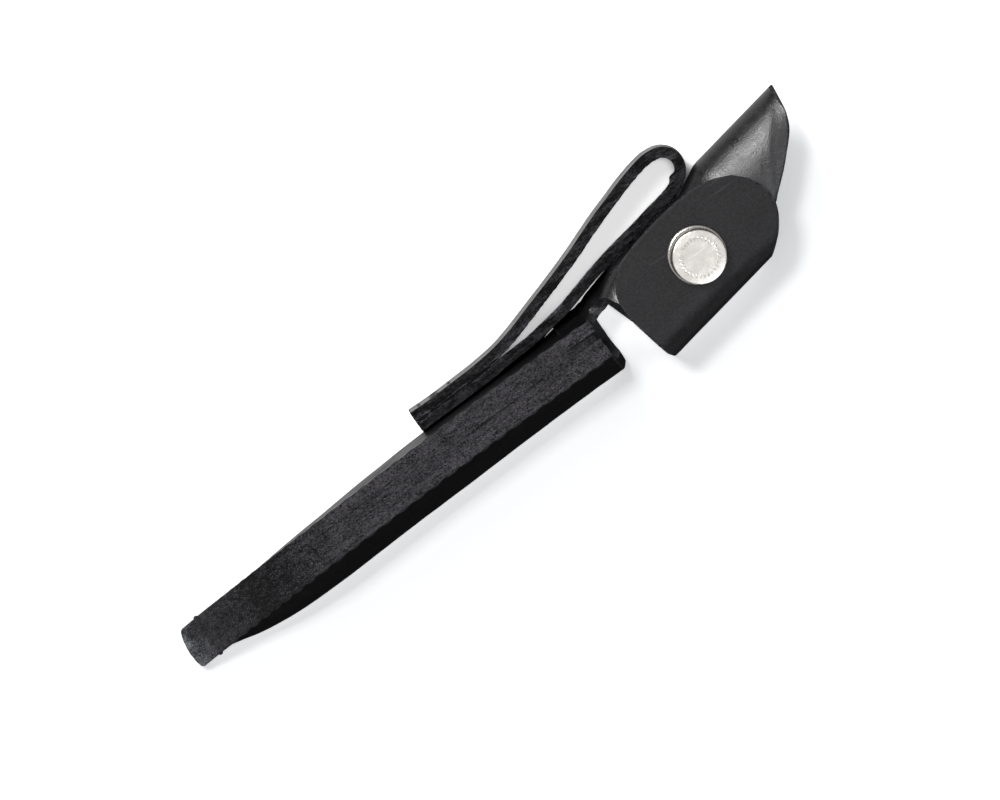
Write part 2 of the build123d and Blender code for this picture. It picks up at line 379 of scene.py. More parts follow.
def seam_dent(x, z, pitch):
    """How far the stitches pull the leather in at a point on a flat face."""
    length, height = seam_length_at(x)
    if length < 0.4 or x > THROAT - 1:
        return 0
    slope = math.hypot(1, (edge_height(x + 0.5) - edge_height(x - 0.5)))
    away = (z - height) / slope
    if abs(away) > 4:
        return 0
    phase = (length - SEAM_START) / pitch
    from_hole = (phase - math.floor(phase) - 0.5) * pitch
    groove = GROOVE[0] * hump(away, 0, GROOVE[1])
    return groove + DENT[0] * hump(math.hypot(from_hole, away), 0, DENT[1])


FRONT_LAYER, FRONT_WELT, BACK_WELT, BACK_LAYER = range(4)


def layer_drop(layer, x):
    """How far the cut edge of a layer lies below the sanded edge; layers count from the front."""
    wave = 0.07 * rough(x, layer * 20, 0, 6) + 0.05 * rough(x, layer * 20, 0, 1.7)
    if layer == FRONT_WELT:
        return 0.03 + wave + 0.55 * ramp(x, 84, 90) * (1 - ramp(x, 106, 112))
    if layer == BACK_WELT:
        sunk = 0.35 * ramp(x, 40, 46) * (1 - ramp(x, 62, 68))
        return 0.03 + wave + sunk + 1.9 * ramp(x, 117, 126)
    return wave


# ---- Cutting and forming leather ----

GRAIN, CUT, FLESH = 0, 1, 2


def cut_sheet(width, length, thickness, columns, rows, rim=RIM, flesh_rim=0.07):
    """A flat sheet of leather, grain side up, with rounded rims."""
    bm = bmesh.new()
    bmesh.ops.create_grid(bm, x_segments=columns, y_segments=rows, size=0.5)
    bmesh.ops.translate(bm, verts=bm.verts, vec=(0.5, 0.5, 0))
    bmesh.ops.scale(bm, verts=bm.verts, vec=(width, length, 1))
    lower = bmesh.ops.extrude_face_region(bm, geom=bm.faces[:])
    moved = [item for item in lower["geom"] if isinstance(item, bmesh.types.BMVert)]
    bmesh.ops.translate(bm, verts=moved, vec=(0, 0, -thickness))
    walls = [edge for edge in bm.edges if abs(edge.verts[0].co.z - edge.verts[1].co.z) > 0.5 * thickness]
    bmesh.ops.subdivide_edges(bm, edges=walls, cuts=3)
    bmesh.ops.recalc_face_normals(bm, faces=bm.faces)
    for offset, height in ((rim, 0), (flesh_rim, -thickness)):
        corners = []
        for edge in bm.edges:
            if len(edge.link_faces) == 2 and edge.calc_face_angle() > 1:
                if all(abs(vert.co.z - height) < 0.01 for vert in edge.verts):
                    corners.append(edge)
        bmesh.ops.bevel(
            bm, geom=corners, offset=offset, offset_type="OFFSET", segments=2, profile=0.5,
            affect="EDGES", material=-1, clamp_overlap=True,
        )
    bm.normal_update()
    for face in bm.faces:
        if face.normal.z > 0.95:
            face.material_index = GRAIN
        elif face.normal.z < -0.95:
            face.material_index = FLESH
        else:
            face.material_index = CUT
    return bm


def form_sheet(bm, shape):
    """Bends a flat sheet to shape(x, y, depth), and keeps where each point was cut from."""
    lay = bm.verts.layers.float_vector.new("lay")
    for vert in bm.verts:
        x, y, z = vert.co
        vert[lay] = (x, y, -z)
        vert.co = shape(x, y, -z)
    bmesh.ops.recalc_face_normals(bm, faces=bm.faces)


def finish_piece(bm, name, finishes, nodes, body=None):
    """Writes a bmesh to a new piece of the frame and gives it its finishes and its place."""
    mesh = bpy.data.meshes.new(name)
    for face in bm.faces:
        face.smooth = True
    bm.to_mesh(mesh)
    bm.free()
    piece = bpy.data.objects.new(name, mesh)
    bpy.context.scene.collection.objects.link(piece)
    for finish in finishes:
        mesh.materials.append(bpy.data.materials[finish])
    if body:
        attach(piece, body)
    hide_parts(*nodes)
    return piece


def leather_set(grain):
    """The grain, cut edge and flesh finishes of a piece of leather."""
    return grain, "Cut leather edge", "Leather flesh side"


# ---- Pieces ----

POUCH_ROUND = 108
POUCH_LONG = 130
WALL_SHARE = 0.2
WALL_SQUEEZE = 0.45


def stitch_pitch():
    """The distance between two stitches, in millimetres."""
    return bpy.context.scene.sheath_sizes.stitch_pitch / MM


def form_pouch(x, y, depth, pitch):
    """A point of the pouch: x runs round it from the front edge, y from the tip to the mouth."""
    share = x / POUCH_ROUND
    if share < WALL_SHARE:
        share = share * WALL_SQUEEZE
    elif share > 1 - WALL_SHARE:
        share = 1 - (1 - share) * WALL_SQUEEZE
    else:
        squeezed = WALL_SHARE * WALL_SQUEEZE
        share = squeezed + (share - WALL_SHARE) * (1 - 2 * squeezed) / (1 - 2 * WALL_SHARE)
    mouth = mouth_x(pouch_point(outer_sections, MOUTH_X, share)[1])
    along = TIP_X + (mouth - TIP_X) * y / POUCH_LONG
    outer = pouch_point(outer_sections, along, share)
    inner = pouch_point(inner_sections, along, share)
    t = depth / LEATHER
    spot_y, spot_z = part_way(outer, inner, t)
    side = -1 if share < 0.5 else 1
    dent = seam_dent(along, spot_z, pitch) * (1 - t)
    spot_y -= side * dent
    swell = 0.14 * rough(along, side * 9, spot_z, 17) + 0.05 * rough(along, side * 9, spot_z, 5, 3)
    spot_y += side * swell * (1 - t) * ramp(edge_height(along) - spot_z, 5, 12)
    near_edge = ramp(edge_height(along) - spot_z, 1.2, 0.2)
    spot_z -= layer_drop(FRONT_LAYER if share < 0.5 else BACK_LAYER, along) * near_edge
    wobble = 0.16 * rough(spot_y, spot_z, 3, 3, 1)
    along += wobble * ramp(y, POUCH_LONG - 1.5, POUCH_LONG) + tip_bow(spot_y, wobble) * ramp(y, 6, 0)
    return place(along, spot_y, spot_z)


def tip_bow(y, wobble):
    """How far the cut end of the tip is bowed at y."""
    return -0.35 + 0.034 * (y + 2) ** 2 + wobble


def make_pouch():
    """Front panel, spine fold and back panel."""
    bm = cut_sheet(POUCH_ROUND, POUCH_LONG, LEATHER, 112, 250)
    pitch = stitch_pitch()
    form_sheet(bm, lambda x, y, depth: form_pouch(x, y, depth, pitch))
    finish_piece(bm, "pouch_leather", leather_set("Shaded pouch leather"), ["sheath_body"], "sheath")


def make_welt(name, layer):
    """One filler strip between the panels, from the sewn edge inwards."""
    low_y = -WELT if layer == FRONT_WELT else 0
    node = "welt_front" if layer == FRONT_WELT else "welt_back"
    short = 0.2 if layer == FRONT_WELT else 0.9

    def form(x, y, depth):
        along = TIP_X + (THROAT - TIP_X) * y / POUCH_LONG
        slope = (edge_height(along + 0.4) - edge_height(along - 0.4)) / 0.8
        length = math.hypot(1, slope)
        edge = edge_height(along)
        tall = min(WELT_DEPTH / length, edge - LEATHER - 0.2)
        spot_x = along + x * slope / length * ramp(y, 0, 14)
        spot_z = edge - x / WELT_DEPTH * tall - layer_drop(layer, along) * ramp(x, 1.5, 0)
        spot_x = min(spot_x, THROAT - short)
        spot_y = seam_y(spot_x) + low_y + depth
        spot_x += tip_bow(spot_y, 0.2 * rough(spot_y, spot_z, 3, 2, 5)) * ramp(y, 6, 0)
        return place(spot_x, spot_y, spot_z)

    bm = cut_sheet(WELT_DEPTH, POUCH_LONG, WELT, 12, 230, rim=0.05, flesh_rim=0.05)
    form_sheet(bm, form)
    finish_piece(bm, name, ["Shaded welt edge"] * 3, [node], "sheath")


# The back wing: the neck, the back wall and the under leaf, as one strip bent to shape.
wall_points = [(120, 9.35), (131.4, 10.2), (140.6, 16.1), (165.6, 20.7), (172.9, 24.75), (200.4, 29.8)]
wall_path = even_path(filleted(wall_points, 7), 240)
wall_length = lengths_along(wall_path)[-1]
wall_plan = [keeper_plan(*point) for point in wall_path[::4]]
wall_low = eased([
    (118, 8.6), (131, 8.4), (134, 7.2), (136.4, 4.2), (138.4, 0.6), (140, 0), (181, 0), (184, 0.4),
    (187.5, 4.2), (195, 13.4), (199, 20.6), (203, 28),
])
under_front = smooth_path([
    (1.2, 12.6), (2.6, 9.6), (5.2, 7.2), (9, 5.8), (14, 5.2), (20, 5), (28, 5.1), (34, 5.4), (40, 6.5),
    (45, 8.4), (48, 10.2), (53.3, 13.3), (58.4, 17), (61.6, 20), (64.3, 24.1),
], 96)
LEAF_SHARE = 0.175


def wall_spot(share):
    """A plan point of the back wall's outer line and the direction to its inside."""
    spot = Vector(on_path(wall_path, share))
    way = way_on_path(wall_path, share)
    return spot, Vector((way.y, -way.x))


def arch_size(share):
    """Rise and reach of the under leaf's rounded back, which is tighter beside the neck."""
    loose = ramp(share, LEAF_SHARE, LEAF_SHARE + 0.17)
    return 6.3 + 2.2 * loose, 7.5 + 7.5 * loose


neck_low_y = eased([
    (118, 11.5), (120, 11.7), (125, 12.4), (130, 13.65), (135, 15), (139, 16), (144, 16.9), (150, 18),
])


NECK_SECTION = -12


def neck_shift(x, y, z):
    """How far the neck stands out, towards the belt, from the back wall's line."""
    soft = 36 - 6 * ramp(x, 131, 135)
    shift = (neck_low_y(x) - y) * ramp(z, soft, 17) * (1 - ramp(x, 138, 144))
    skin = nearest(outer_sections[NECK_SECTION][BACK_HALF], 1, z)[0]
    flush = 1 - ramp(x, 127, 131.5)
    return shift * (1 - flush) + (skin - 0.12 - y) * flush


# The back wing's flat sheet is this tall, of which the wall takes up the first part.
WING_TALL = 62
WING_WALL = 26
FOOT_SHARE = 0.2
NECK_TOP = 29.6
NECK_FLARE = 7
RIPPLE_LOW = 29
RIPPLE_FULL = 32
wing_rows = eased([(0, 0), (0.17, LEAF_SHARE - 0.02), (0.34, LEAF_SHARE + 0.014), (1, 1)])


def wing_reach(share):
    """How far the back wing goes up the wall and over the leaf at a share along the wall."""
    curl = 8 * ramp(share, LEAF_SHARE - 0.07, LEAF_SHARE + 0.01) ** 2
    notch = min(1, max(0, (share - LEAF_SHARE + 0.022) / 0.036))
    leaf = (WING_TALL - WING_WALL - curl) * notch ** 4
    return WING_WALL + curl + leaf


def wing_floor_share(x):
    """How far the wall's foot turns in to meet the floor of the keeper."""
    return ramp(x, 137.5, 141) * (1 - ramp(x, 180, 184))


def form_back_wall(t, share, depth):
    """a, u and z of the back wall, at a share t of its height and a share of its length."""
    spot, inside = wall_spot(share)
    low = wall_low(spot.x)
    leafy = ramp(share, LEAF_SHARE - 0.07, LEAF_SHARE - 0.01)
    neck_top = NECK_TOP + NECK_FLARE * ramp(spot.x, 131.6, 127.6) ** 2
    top = neck_top + (UNDER_TOP - arch_size(share)[0] - neck_top) * leafy
    turn = FOOT_TURN
    plan = depth
    z = low + turn + (top - low - turn) * (t - FOOT_SHARE) / (1 - FOOT_SHARE)
    if t < FOOT_SHARE:
        foot = wing_floor_share(spot.x)
        angle = (1 - t / FOOT_SHARE) * math.pi / 2
        plan += (turn - (turn - depth) * math.cos(angle) - depth) * foot
        straight = low + turn * t / FOOT_SHARE
        z = straight + (turn - (turn - depth) * math.sin(angle) - straight) * foot
    slant = 0.37 * plan * ramp(share, 0.9, 1)
    base = spot + inside * plan - way_on_path(wall_path, share) * slant
    base.y += neck_shift(base.x, spot.y, z) * (1 - ramp(spot.x, 140, 145))
    z -= 1.5 * (1 - depth / LEATHER) ** 2 * ramp(t, 0.8, 1) * (1 - leafy)
    return *keeper_plan(base.x, base.y), z


def form_under_leaf(t, share, depth):
    """a, u and z of the under leaf, at a share t of its way over the handle from the wall."""
    rise, reach = arch_size(share)
    near = Vector(keeper_plan(*wall_spot(share)[0]))
    far = Vector(on_path(under_front, max(0, (share - LEAF_SHARE) / (1 - LEAF_SHARE))))
    width = (far - near).length
    end = math.acos(max(0, 1 - width / reach))
    arc = math.sqrt((rise ** 2 + reach ** 2) / 2) * end
    gone = (arc + max(0, width - reach)) * t
    angle = end * min(1, gone / arc)
    tilt = math.atan2(rise * math.cos(angle), reach * math.sin(angle))
    out = reach * (1 - math.cos(angle)) + max(0, gone - arc) + depth * math.sin(tilt)
    base = near + (far - near) * (out / width)
    return base.x, base.y, UNDER_TOP - rise + rise * math.sin(angle) - depth * math.cos(tilt)


def form_back_wing(x, y, depth):
    """A point of the back wing: x runs up the wall and over the leaf, y along the wall."""
    share = wing_rows(y / wall_length)
    x *= wing_reach(share) / WING_TALL
    if x <= WING_WALL:
        spot = form_back_wall(x / WING_WALL, share, depth)
    else:
        spot = form_under_leaf((x - WING_WALL) / (WING_TALL - WING_WALL), share, depth)
    return keeper_place(*spot) + wing_ripple(*spot)


def wing_ripple(a, u, z):
    """Small creases and waves of the back wing, in metres, which only the leaf has."""
    if z <= RIPPLE_LOW:
        return Vector()
    across = a - 0.9 * (u - 15)
    past_crease = across - 49.5
    wave = 0.07 * rough(a, u, z, 9, 5) + 0.01 * rough(a, u, z, 3, 6)
    wave -= 0.22 * hump(across, 48.5, 0.5) * ramp(u, 20, 15)
    wave -= 0.18 * hump(across, 51.8, 0.45) * ramp(u, 24, 19)
    wave -= 0.12 + 0.11 * past_crease * ramp(past_crease, 0, 4)
    return Vector((0, 0, min(0, wave) * MM * ramp(z, RIPPLE_LOW, RIPPLE_FULL)))


def make_back_wing():
    """The neck, the keeper's back wall and the under leaf."""
    bm = cut_sheet(WING_TALL, wall_length, LEATHER, 62, 170)
    for face in bm.faces:
        middle = face.calc_center_median()
        if middle.x > WING_TALL - 1 and middle.y < 0.2 * wall_length and middle.z > -1.6:
            face.material_index = GRAIN
        if middle.x > WING_WALL and middle.y > wall_length - 0.9:
            face.material_index = CUT
    form_sheet(bm, form_back_wing)
    nodes = ["sheath_body", "under_flap"]
    wing = finish_piece(bm, "back_wing", leather_set("Polished leather"), nodes)
    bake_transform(wing)


# The front wing: the keeper's floor, its front wall and the snap leaf.
floor_left = [(-1.8, 23.2), (-0.6, 14), (0.3, 7), (0.3, FRONT_BEND)]
floor_right = [(43.8, 25.6), (40.5, 16), (36.9, 8), (35.6, FRONT_BEND)]
snap_left = smooth_path([
    (0.3, 0), (-0.35, 0.9), (-0.6, 2), (-0.8, 5), (-0.9, 9), (-1, 13), (-0.5, 17.4), (0.9, 21.2),
    (3.6, 24.3),
], 40)
snap_right = smooth_path([
    (35.6, 0), (38.5, 1.6), (41.7, 4), (44.3, 6.8), (45.9, 9.8), (46.2, 13), (45.2, 17.6), (42.6, 21.6),
], 40)
snap_top = smooth_path([
    (3.6, 24.3), (6.2, 25.7), (9.5, 26.6), (20, 27.35), (31, 26.6), (37, 25.1), (42.6, 21.6),
], 60)
snap_low = [(WALL_START, 0), (WALL_START + WALL_WIDE, 0)]
FLOOR_RUN = 22
BEND_RUN = 7
WALL_RUN = 32
LEAF_RUN = 24
FLOOR_DEEP = 18
LEAF_DEEP = 26
BEND_DROP = 2.4
FRONT_WIDE = 40
FRONT_RUN = FLOOR_RUN + 2 * BEND_RUN + WALL_RUN + LEAF_RUN


def form_keeper_floor(x, s, depth):
    """a, u and z of the keeper's floor and of its bend up to the front wall."""
    t = max(0, 1 - x / FLOOR_RUN)
    u = FRONT_BEND + FLOOR_DEEP * t
    left = floor_side(floor_left, u)
    a = left + (floor_side(floor_right, u) - left) * s
    if x <= FLOOR_RUN:
        return a, FRONT_BEND + (wall_inside_u(a) - FRONT_BEND) * t, depth
    angle = (x - FLOOR_RUN) / BEND_RUN * math.pi / 2
    wall = WALL_START + WALL_WIDE * s
    inner = FRONT_BEND - depth
    a = wall + (a - wall) * math.cos(angle)
    return a, FRONT_BEND - inner * math.sin(angle), FRONT_BEND - inner * math.cos(angle)


def form_front_wall(x, s, depth):
    """a, u and z of the keeper's front wall, which bows out a little."""
    z = FRONT_BEND + (SNAP_TOP - 2 * FRONT_BEND) * x / WALL_RUN
    bow = 0.25 * math.sin(math.pi * x / WALL_RUN) + 0.10 * rough(s * 35, z, 3, 9)
    z -= BEND_DROP * ramp(z, 18, SNAP_TOP - FRONT_BEND)
    return WALL_START + WALL_WIDE * s, depth + bow, z


def form_snap_leaf(x, s, depth):
    """a, u and z of the snap leaf and of its bend, which sinks towards the wall."""
    angle = min(1, x / BEND_RUN) * math.pi / 2
    reach = FRONT_BEND - FRONT_BEND * math.cos(angle)
    if x > BEND_RUN:
        reach = FRONT_BEND + (x - BEND_RUN) / LEAF_RUN * (LEAF_DEEP - FRONT_BEND)
    flat = patch(snap_low, snap_top, snap_left, snap_right, s, reach / LEAF_DEEP)
    sink = -0.12 + 0.10 * rough(flat.x, flat.y, 0, 8, 2) - 0.22 * ramp(flat.y, 20, 27)
    z = SNAP_TOP - FRONT_BEND + (FRONT_BEND - depth + min(0, sink)) * math.sin(angle)
    z -= BEND_DROP * max(0, 1 - flat.y / 10) ** 2
    return flat.x, flat.y + depth * math.cos(angle), z


def form_front_wing(x, y, depth):
    """A point of the front wing: x runs from the floor up the wall and over the leaf."""
    s = y / FRONT_WIDE
    wall_start = FLOOR_RUN + BEND_RUN
    leaf_start = wall_start + WALL_RUN
    if x <= wall_start:
        return keeper_place(*form_keeper_floor(x, s, depth))
    if x <= leaf_start:
        return keeper_place(*form_front_wall(x - wall_start, s, depth))
    return keeper_place(*form_snap_leaf(x - leaf_start, s, depth))


def floor_side(side, u):
    """The floor's side at u."""
    for before, after in zip(side, side[1:]):
        if before[1] >= u >= after[1]:
            return part_way(before, after, (before[1] - u) / (before[1] - after[1]))[0]
    return side[0][0] if u > side[0][1] else side[-1][0]


def wall_inside_u(a):
    """u of the back wall's foot, where the floor meets it."""
    return nearest(wall_plan, 0, a)[1] - FOOT_TURN


def make_front_wing():
    """The keeper's floor, front wall and snap leaf."""
    bm = cut_sheet(FRONT_RUN, FRONT_WIDE, LEATHER, 92, 44)
    form_sheet(bm, form_front_wing)
    nodes = ["sheath_body", "snap_flap"]
    wing = finish_piece(bm, "front_wing", leather_set("Matt leather"), nodes)
    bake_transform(wing)


# The belt loop's grain face, from the sewn end, round the fold and back.
loop_face = [
    (LOOP_START, back_face_y(LOOP_START) + LOOP_GAP), (85, 9.75), (LOOP_SEWN, 9.95), (100, 10.15),
    (105, 10.6), (110, 10.8), (115, 11.15), (120, 11.85), (125, 12.65), (130, 13.9), (135, 15.25),
    (140, 16.5), (145, 17.5), (152.5, 18.8), (157.5, 19.8), (162.5, 20.7), (166.2, 21.75), (168.2, 22.8),
    (170, 24.4), (171, 26.2), (171.3, 28.2), (171, 30.2), (169.9, 32), (167.6, 33.6), (163.9, 34.1),
    (160, 33.5), (155, 32.2), (150, 30.6), (145, 29), (140, 27.2), (135, 25.3), (130, 23.6), (125, 22),
    (120, 20.5), (115, 18.95), (110, 17.5), (105, 16.4), (98.75, 15.7), (LOOP_SEWN, 15.45), (85, 15.2),
    (LOOP_START, back_face_y(LOOP_START) + LOOP_GAP + LOOP_SLIT + 2 * STRAP),
]
loop_path = smooth_path(loop_face, 420)
loop_length = lengths_along(loop_path)[-1]
LOOP_OUTER = slice(300, None)


def form_belt_loop(x, y, depth):
    """A point of the belt loop: x runs down the strap from its upper edge, y along it."""
    share = y / loop_length
    spot = Vector(on_path(loop_path, share))
    way = way_on_path(loop_path, share)
    outside = Vector((way.y, -way.x))
    inner = depth / STRAP
    wave = 0.05 * rough(spot.x, x, share * 40, 8, 4)
    torn = 0.22 * rough(spot.x, x, share * 90, 1.3, 8) * ramp(inner, 0.3, 1)
    fold = 0.9 * hump(share, 0.462, 0.009) * inner * ramp(x, 16, 0)
    spot = spot + outside * (wave + torn - depth - fold)
    flare = ramp(share, 0.44, 0.53) * (x / LOOP_WIDTH) ** 1.2
    lean = 1.1 * ramp(x, 8, LOOP_WIDTH) * (1 - ramp(spot.x, 112, 119)) * (1 - ramp(share, 0.3, 0.34))
    spot = spot + outside * (flare + lean)
    z = LOOP_WIDTH - x + (0.14 * rough(spot.x, spot.y, x, 3, 7) - 0.10) * ramp(x, 2, 0)
    return place(spot.x, spot.y, min(z, LOOP_WIDTH))


def make_belt_loop():
    """The strap folded back on itself and sewn low on the back."""
    bm = cut_sheet(LOOP_WIDTH, loop_length, STRAP, 24, 330, rim=0.24)
    form_sheet(bm, form_belt_loop)
    finishes = ("Strap grain leather", "Strap cut edge", "Leather flesh side")
    finish_piece(bm, "belt_strap", finishes, ["belt_loop"], "sheath")


# Thread: every stitch is a short twisted length that dips into the leather at both ends.
# Its length, width and height are those of the seam or of the belt loop.
EDGE_STITCH = (4.1, 0.95, 0.62)
LOOP_STITCH = (3.8, 0.95, 0.6)
PLY_DEPTH = 0.10
PLY_TWIST = 3.4


def lay_stitch(bm, middle, way, out, size):
    """Adds one stitch, with its middle, its direction and the way out of the leather."""
    made = bmesh.ops.create_uvsphere(bm, u_segments=12, v_segments=12, radius=1)
    side = way.cross(out).normalized()
    length, width, height = size
    lay = bm.verts.layers.float_vector["lay"]
    for vert in made["verts"]:
        x, y, z = vert.co
        run = math.copysign(abs(z) ** 0.8, z)
        waist = math.sqrt(max(0, 1 - run ** 4))
        around = math.hypot(x, y) or 1
        x, y = x / around * waist, y / around * waist
        ply = 1 + PLY_DEPTH * math.sin(2 * math.atan2(y, x) + run * length * PLY_TWIST)
        vert[lay] = (run * length / 2, math.atan2(y, x) * width / 2, 0)
        sag = -0.55 * height * run * run
        shift = way * (run * length / 2) + side * (x * ply * width / 2) + out * (y * ply * height / 2 + sag)
        vert.co = middle + shift * MM


def thread_mesh():
    """An empty mesh for stitches."""
    bm = bmesh.new()
    bm.verts.layers.float_vector.new("lay")
    return bm


def finish_thread(bm, name, node):
    """Closes the poles of the stitches and finishes them as one piece."""
    bmesh.ops.remove_doubles(bm, verts=bm.verts, dist=1e-6)
    bmesh.ops.recalc_face_normals(bm, faces=bm.faces)
    finish_piece(bm, name, ["Waxed black thread"], [node], "sheath")


def make_edge_thread(name, node, side):
    """The stitches of the edge seam on one face: side is -1 for the front and 1 for the back."""
    pitch = stitch_pitch()
    bm = thread_mesh()
    length = SEAM_START
    proud = 0.06 if side < 0 else -0.10
    while True:
        x, z, slope = seam_at(length)
        if x > THROAT - 3:
            break
        out = Vector((0, side, 0))
        way = Vector((math.cos(slope), 0, math.sin(slope)))
        y = seam_y(x) + side * (HALF_STACK + proud)
        lay_stitch(bm, place(x, y, z), way, out, EDGE_STITCH)
        length += pitch
    finish_thread(bm, name, node)


def make_loop_thread(name, node, outside):
    """The box of stitches that holds the belt loop, on its outer face or on the lining."""
    low_x, low_z, high_x, high_z = LOOP_BOX
    pitch = stitch_pitch()
    across = int((high_x - low_x) / pitch)
    up = int((high_z - low_z) / pitch)
    level = Vector((1, 0, 0))
    upright = Vector((0, 0, 1))
    spots = []
    for number in range(across):
        x = low_x + (number + 0.5) * (high_x - low_x) / across
        spots += [(x, low_z, level), (x, high_z, level)]
    for number in range(up):
        z = low_z + (number + 0.5) * (high_z - low_z) / up
        spots += [(low_x, z, upright), (high_x, z, upright)]
    bm = thread_mesh()
    for x, z, way in spots:
        if outside:
            lean = (1 - z / LOOP_WIDTH) ** 1.2
            y = nearest(loop_path[LOOP_OUTER], 0, x)[1] + lean + 0.06
        else:
            lining = inner_sections[int((x - TIP_X) / SECTION_STEP)][BACK_HALF]
            y = nearest(lining, 1, z)[0] - 0.10
        out = Vector((0, 1 if outside else -1, 0))
        lay_stitch(bm, place(x, y, z), way, out, LOOP_STITCH)
    finish_thread(bm, name, node)


MELTED_SPOT = (4.2, 8.2)
MELTED_SIZE = (0.62, 0.45, 0.55)


def make_thread_ends():
    """The two melted ends of the seam's thread at the tip."""
    bm = bmesh.new()
    x, z = MELTED_SPOT
    for side in (-1, 1):
        made = bmesh.ops.create_uvsphere(bm, u_segments=14, v_segments=10, radius=1)
        middle = place(x, seam_y(x) + side * (HALF_STACK + 0.16), z)
        for vert in made["verts"]:
            lump = 1 + 0.12 * rough(*vert.co, 0.8, side)
            vert.co = middle + vert.co * Vector(MELTED_SIZE) * lump * MM
    bmesh.ops.recalc_face_normals(bm, faces=bm.faces)
    finish_piece(bm, "melted_ends", ["Waxed black thread"], ["thread_ends"], "sheath")


# Snap fastener: every part is turned from its half profile of radius and height.
def turn_profile(bm, profile, closed, steps=72):
    """Spins a half profile round the snap's axis."""
    verts = [bm.verts.new((radius, 0, height)) for radius, height in profile]
    edges = [bm.edges.new(pair) for pair in zip(verts, verts[1:])]
    if closed:
        edges.append(bm.edges.new((verts[-1], verts[0])))
    bmesh.ops.spin(
        bm, geom=verts + edges, cent=(0, 0, 0), axis=(0, 0, 1), dvec=(0, 0, 0), angle=2 * math.pi,
        steps=steps, use_merge=True, use_duplicate=False,
    )
    bmesh.ops.remove_doubles(bm, verts=bm.verts, dist=1e-5)


def seat_snap(bm):
    """Moves snap parts from their own axis, in millimetres, to their place in the keeper."""
    bmesh.ops.recalc_face_normals(bm, faces=bm.faces)
    for vert in bm.verts:
        x, y, z = vert.co
        vert.co = keeper_place(SNAP_A + x, SNAP_U + y, UNDER_TOP + z)


def rounded_ring(profile, count):
    """A closed profile with its corners eased."""
    return smooth_path(profile + [profile[0]], count)[:-1]


# The cap from its middle, over its rim and back inside, above the face of the leaf.
CAP_PROFILE = [
    (0, 2.88), (1, 2.875), (2, 2.86), (3, 2.83), (4, 2.79), (4.8, 2.75), (5.5, 2.70), (6.1, 2.65),
    (6.5, 2.61), (6.68, 2.58), (6.79, 2.52), (6.86, 2.42), (6.89, 2.2), (6.9, 1.8), (6.92, 1.36),
    (6.95, 1.1), (7.08, 1.03), (7.25, 0.96), (7.4, 0.84), (7.5, 0.68), (7.55, 0.48), (7.56, 0.30),
    (7.46, 0.13), (7.2, 0.04), (6.6, 0.03), (6.3, 0.05), (6.2, 0.4), (6.1, 0.8), (5.9, 1.4), (5.4, 2),
    (4, 2.1), (2, 2.3), (0, 2.4),
]
CAP_SHIFT = 0.8

# The ring of beads, and half of a bead's size outwards, round the ring and upwards.
BEAD_CIRCLE = 4.75
BEAD_HEIGHT = 2.75
BEAD = (0.62, 0.24, 0.15)

# Each ring's finish, slot, node and body, and its half profile above the under leaf.
SNAP_RINGS = {
    "barrel_tube": ("Nickel plate", "nickel", "cap_barrel", "snap_leaf", [
        (1.05, 2.2), (1.05, 5.9), (1.3, 6.1), (5.9, 6.12), (6.1, 5.95), (6, 5.74), (1.6, 5.72), (1.48, 5.5),
        (1.48, 2.5), (1.55, 2.2), (2.02, 2.13), (2.02, 1.97), (1.3, 1.96),
    ]),
    "socket_cup": ("Nickel plate", "nickel", "snap_socket", "snap_leaf", [
        (1.56, 2.2), (1.56, 2.5), (1.8, 2.56), (5.5, 2.56), (5.76, 2.45), (5.7, 2.24), (4.4, 2.2),
        (4.16, 2), (4.1, 1.2), (3.9, 0.96), (3.4, 0.92), (2.6, 0.94), (2.42, 1.05), (2.5, 1.22), (3, 1.28),
        (3.12, 1.5), (3.1, 2.1),
    ]),
    "spring_ring": ("Spring wire", "spring_wire", "socket_spring", "snap_leaf", [
        (2.25, 1.5), (2.32, 1.68), (2.5, 1.75), (2.68, 1.68), (2.75, 1.5), (2.68, 1.32), (2.5, 1.25),
        (2.32, 1.32),
    ]),
    "eyelet_ring": ("Nickel plate", "nickel", "stud_eyelet", "under_leaf", [
        (0.85, 1.1), (1.1, 1.18), (1.18, 1), (1.18, -2.8), (1.4, -3.12), (4.6, -3.14), (4.95, -3.25),
        (4.9, -3.48), (4.5, -3.53), (1.2, -3.54), (0.9, -3.3),
    ]),
}
STUD_PROFILE = [
    (0, 1.74), (0.9, 1.73), (1.4, 1.68), (1.75, 1.6), (1.93, 1.42), (1.93, 1.25), (1.8, 1.08), (1.62, 0.95),
    (1.6, 0.62), (1.75, 0.46), (2.2, 0.43), (4.3, 0.44), (4.62, 0.4), (4.78, 0.22), (4.7, 0.04),
    (4.3, 0.02), (1.22, 0.02), (1.22, 1.25), (0, 1.3),
]


def make_snap_cap():
    """The domed cap with its ring of beads."""
    bm = bmesh.new()
    turn_profile(bm, [(radius, CAP_SEAT + height) for radius, height in CAP_PROFILE], closed=False)
    count = bpy.context.scene.sheath_sizes.cap_beads
    for number in range(count):
        made = bmesh.ops.create_uvsphere(bm, u_segments=10, v_segments=6, radius=1)
        for vert in made["verts"]:
            x, y, z = vert.co
            radius = BEAD_CIRCLE + x * BEAD[0]
            swing = 2 * math.pi * number / count + y * BEAD[1] / BEAD_CIRCLE
            height = CAP_SEAT + BEAD_HEIGHT + z * BEAD[2]
            vert.co = (radius * math.cos(swing), radius * math.sin(swing), height)
    for vert in bm.verts:
        vert.co.y -= CAP_SHIFT * ramp(vert.co.z - CAP_SEAT, 0.9, 2)
    seat_snap(bm)
    finish_piece(bm, "cap_dome", ["Nickel plate"], ["snap_cap"], "snap_leaf")


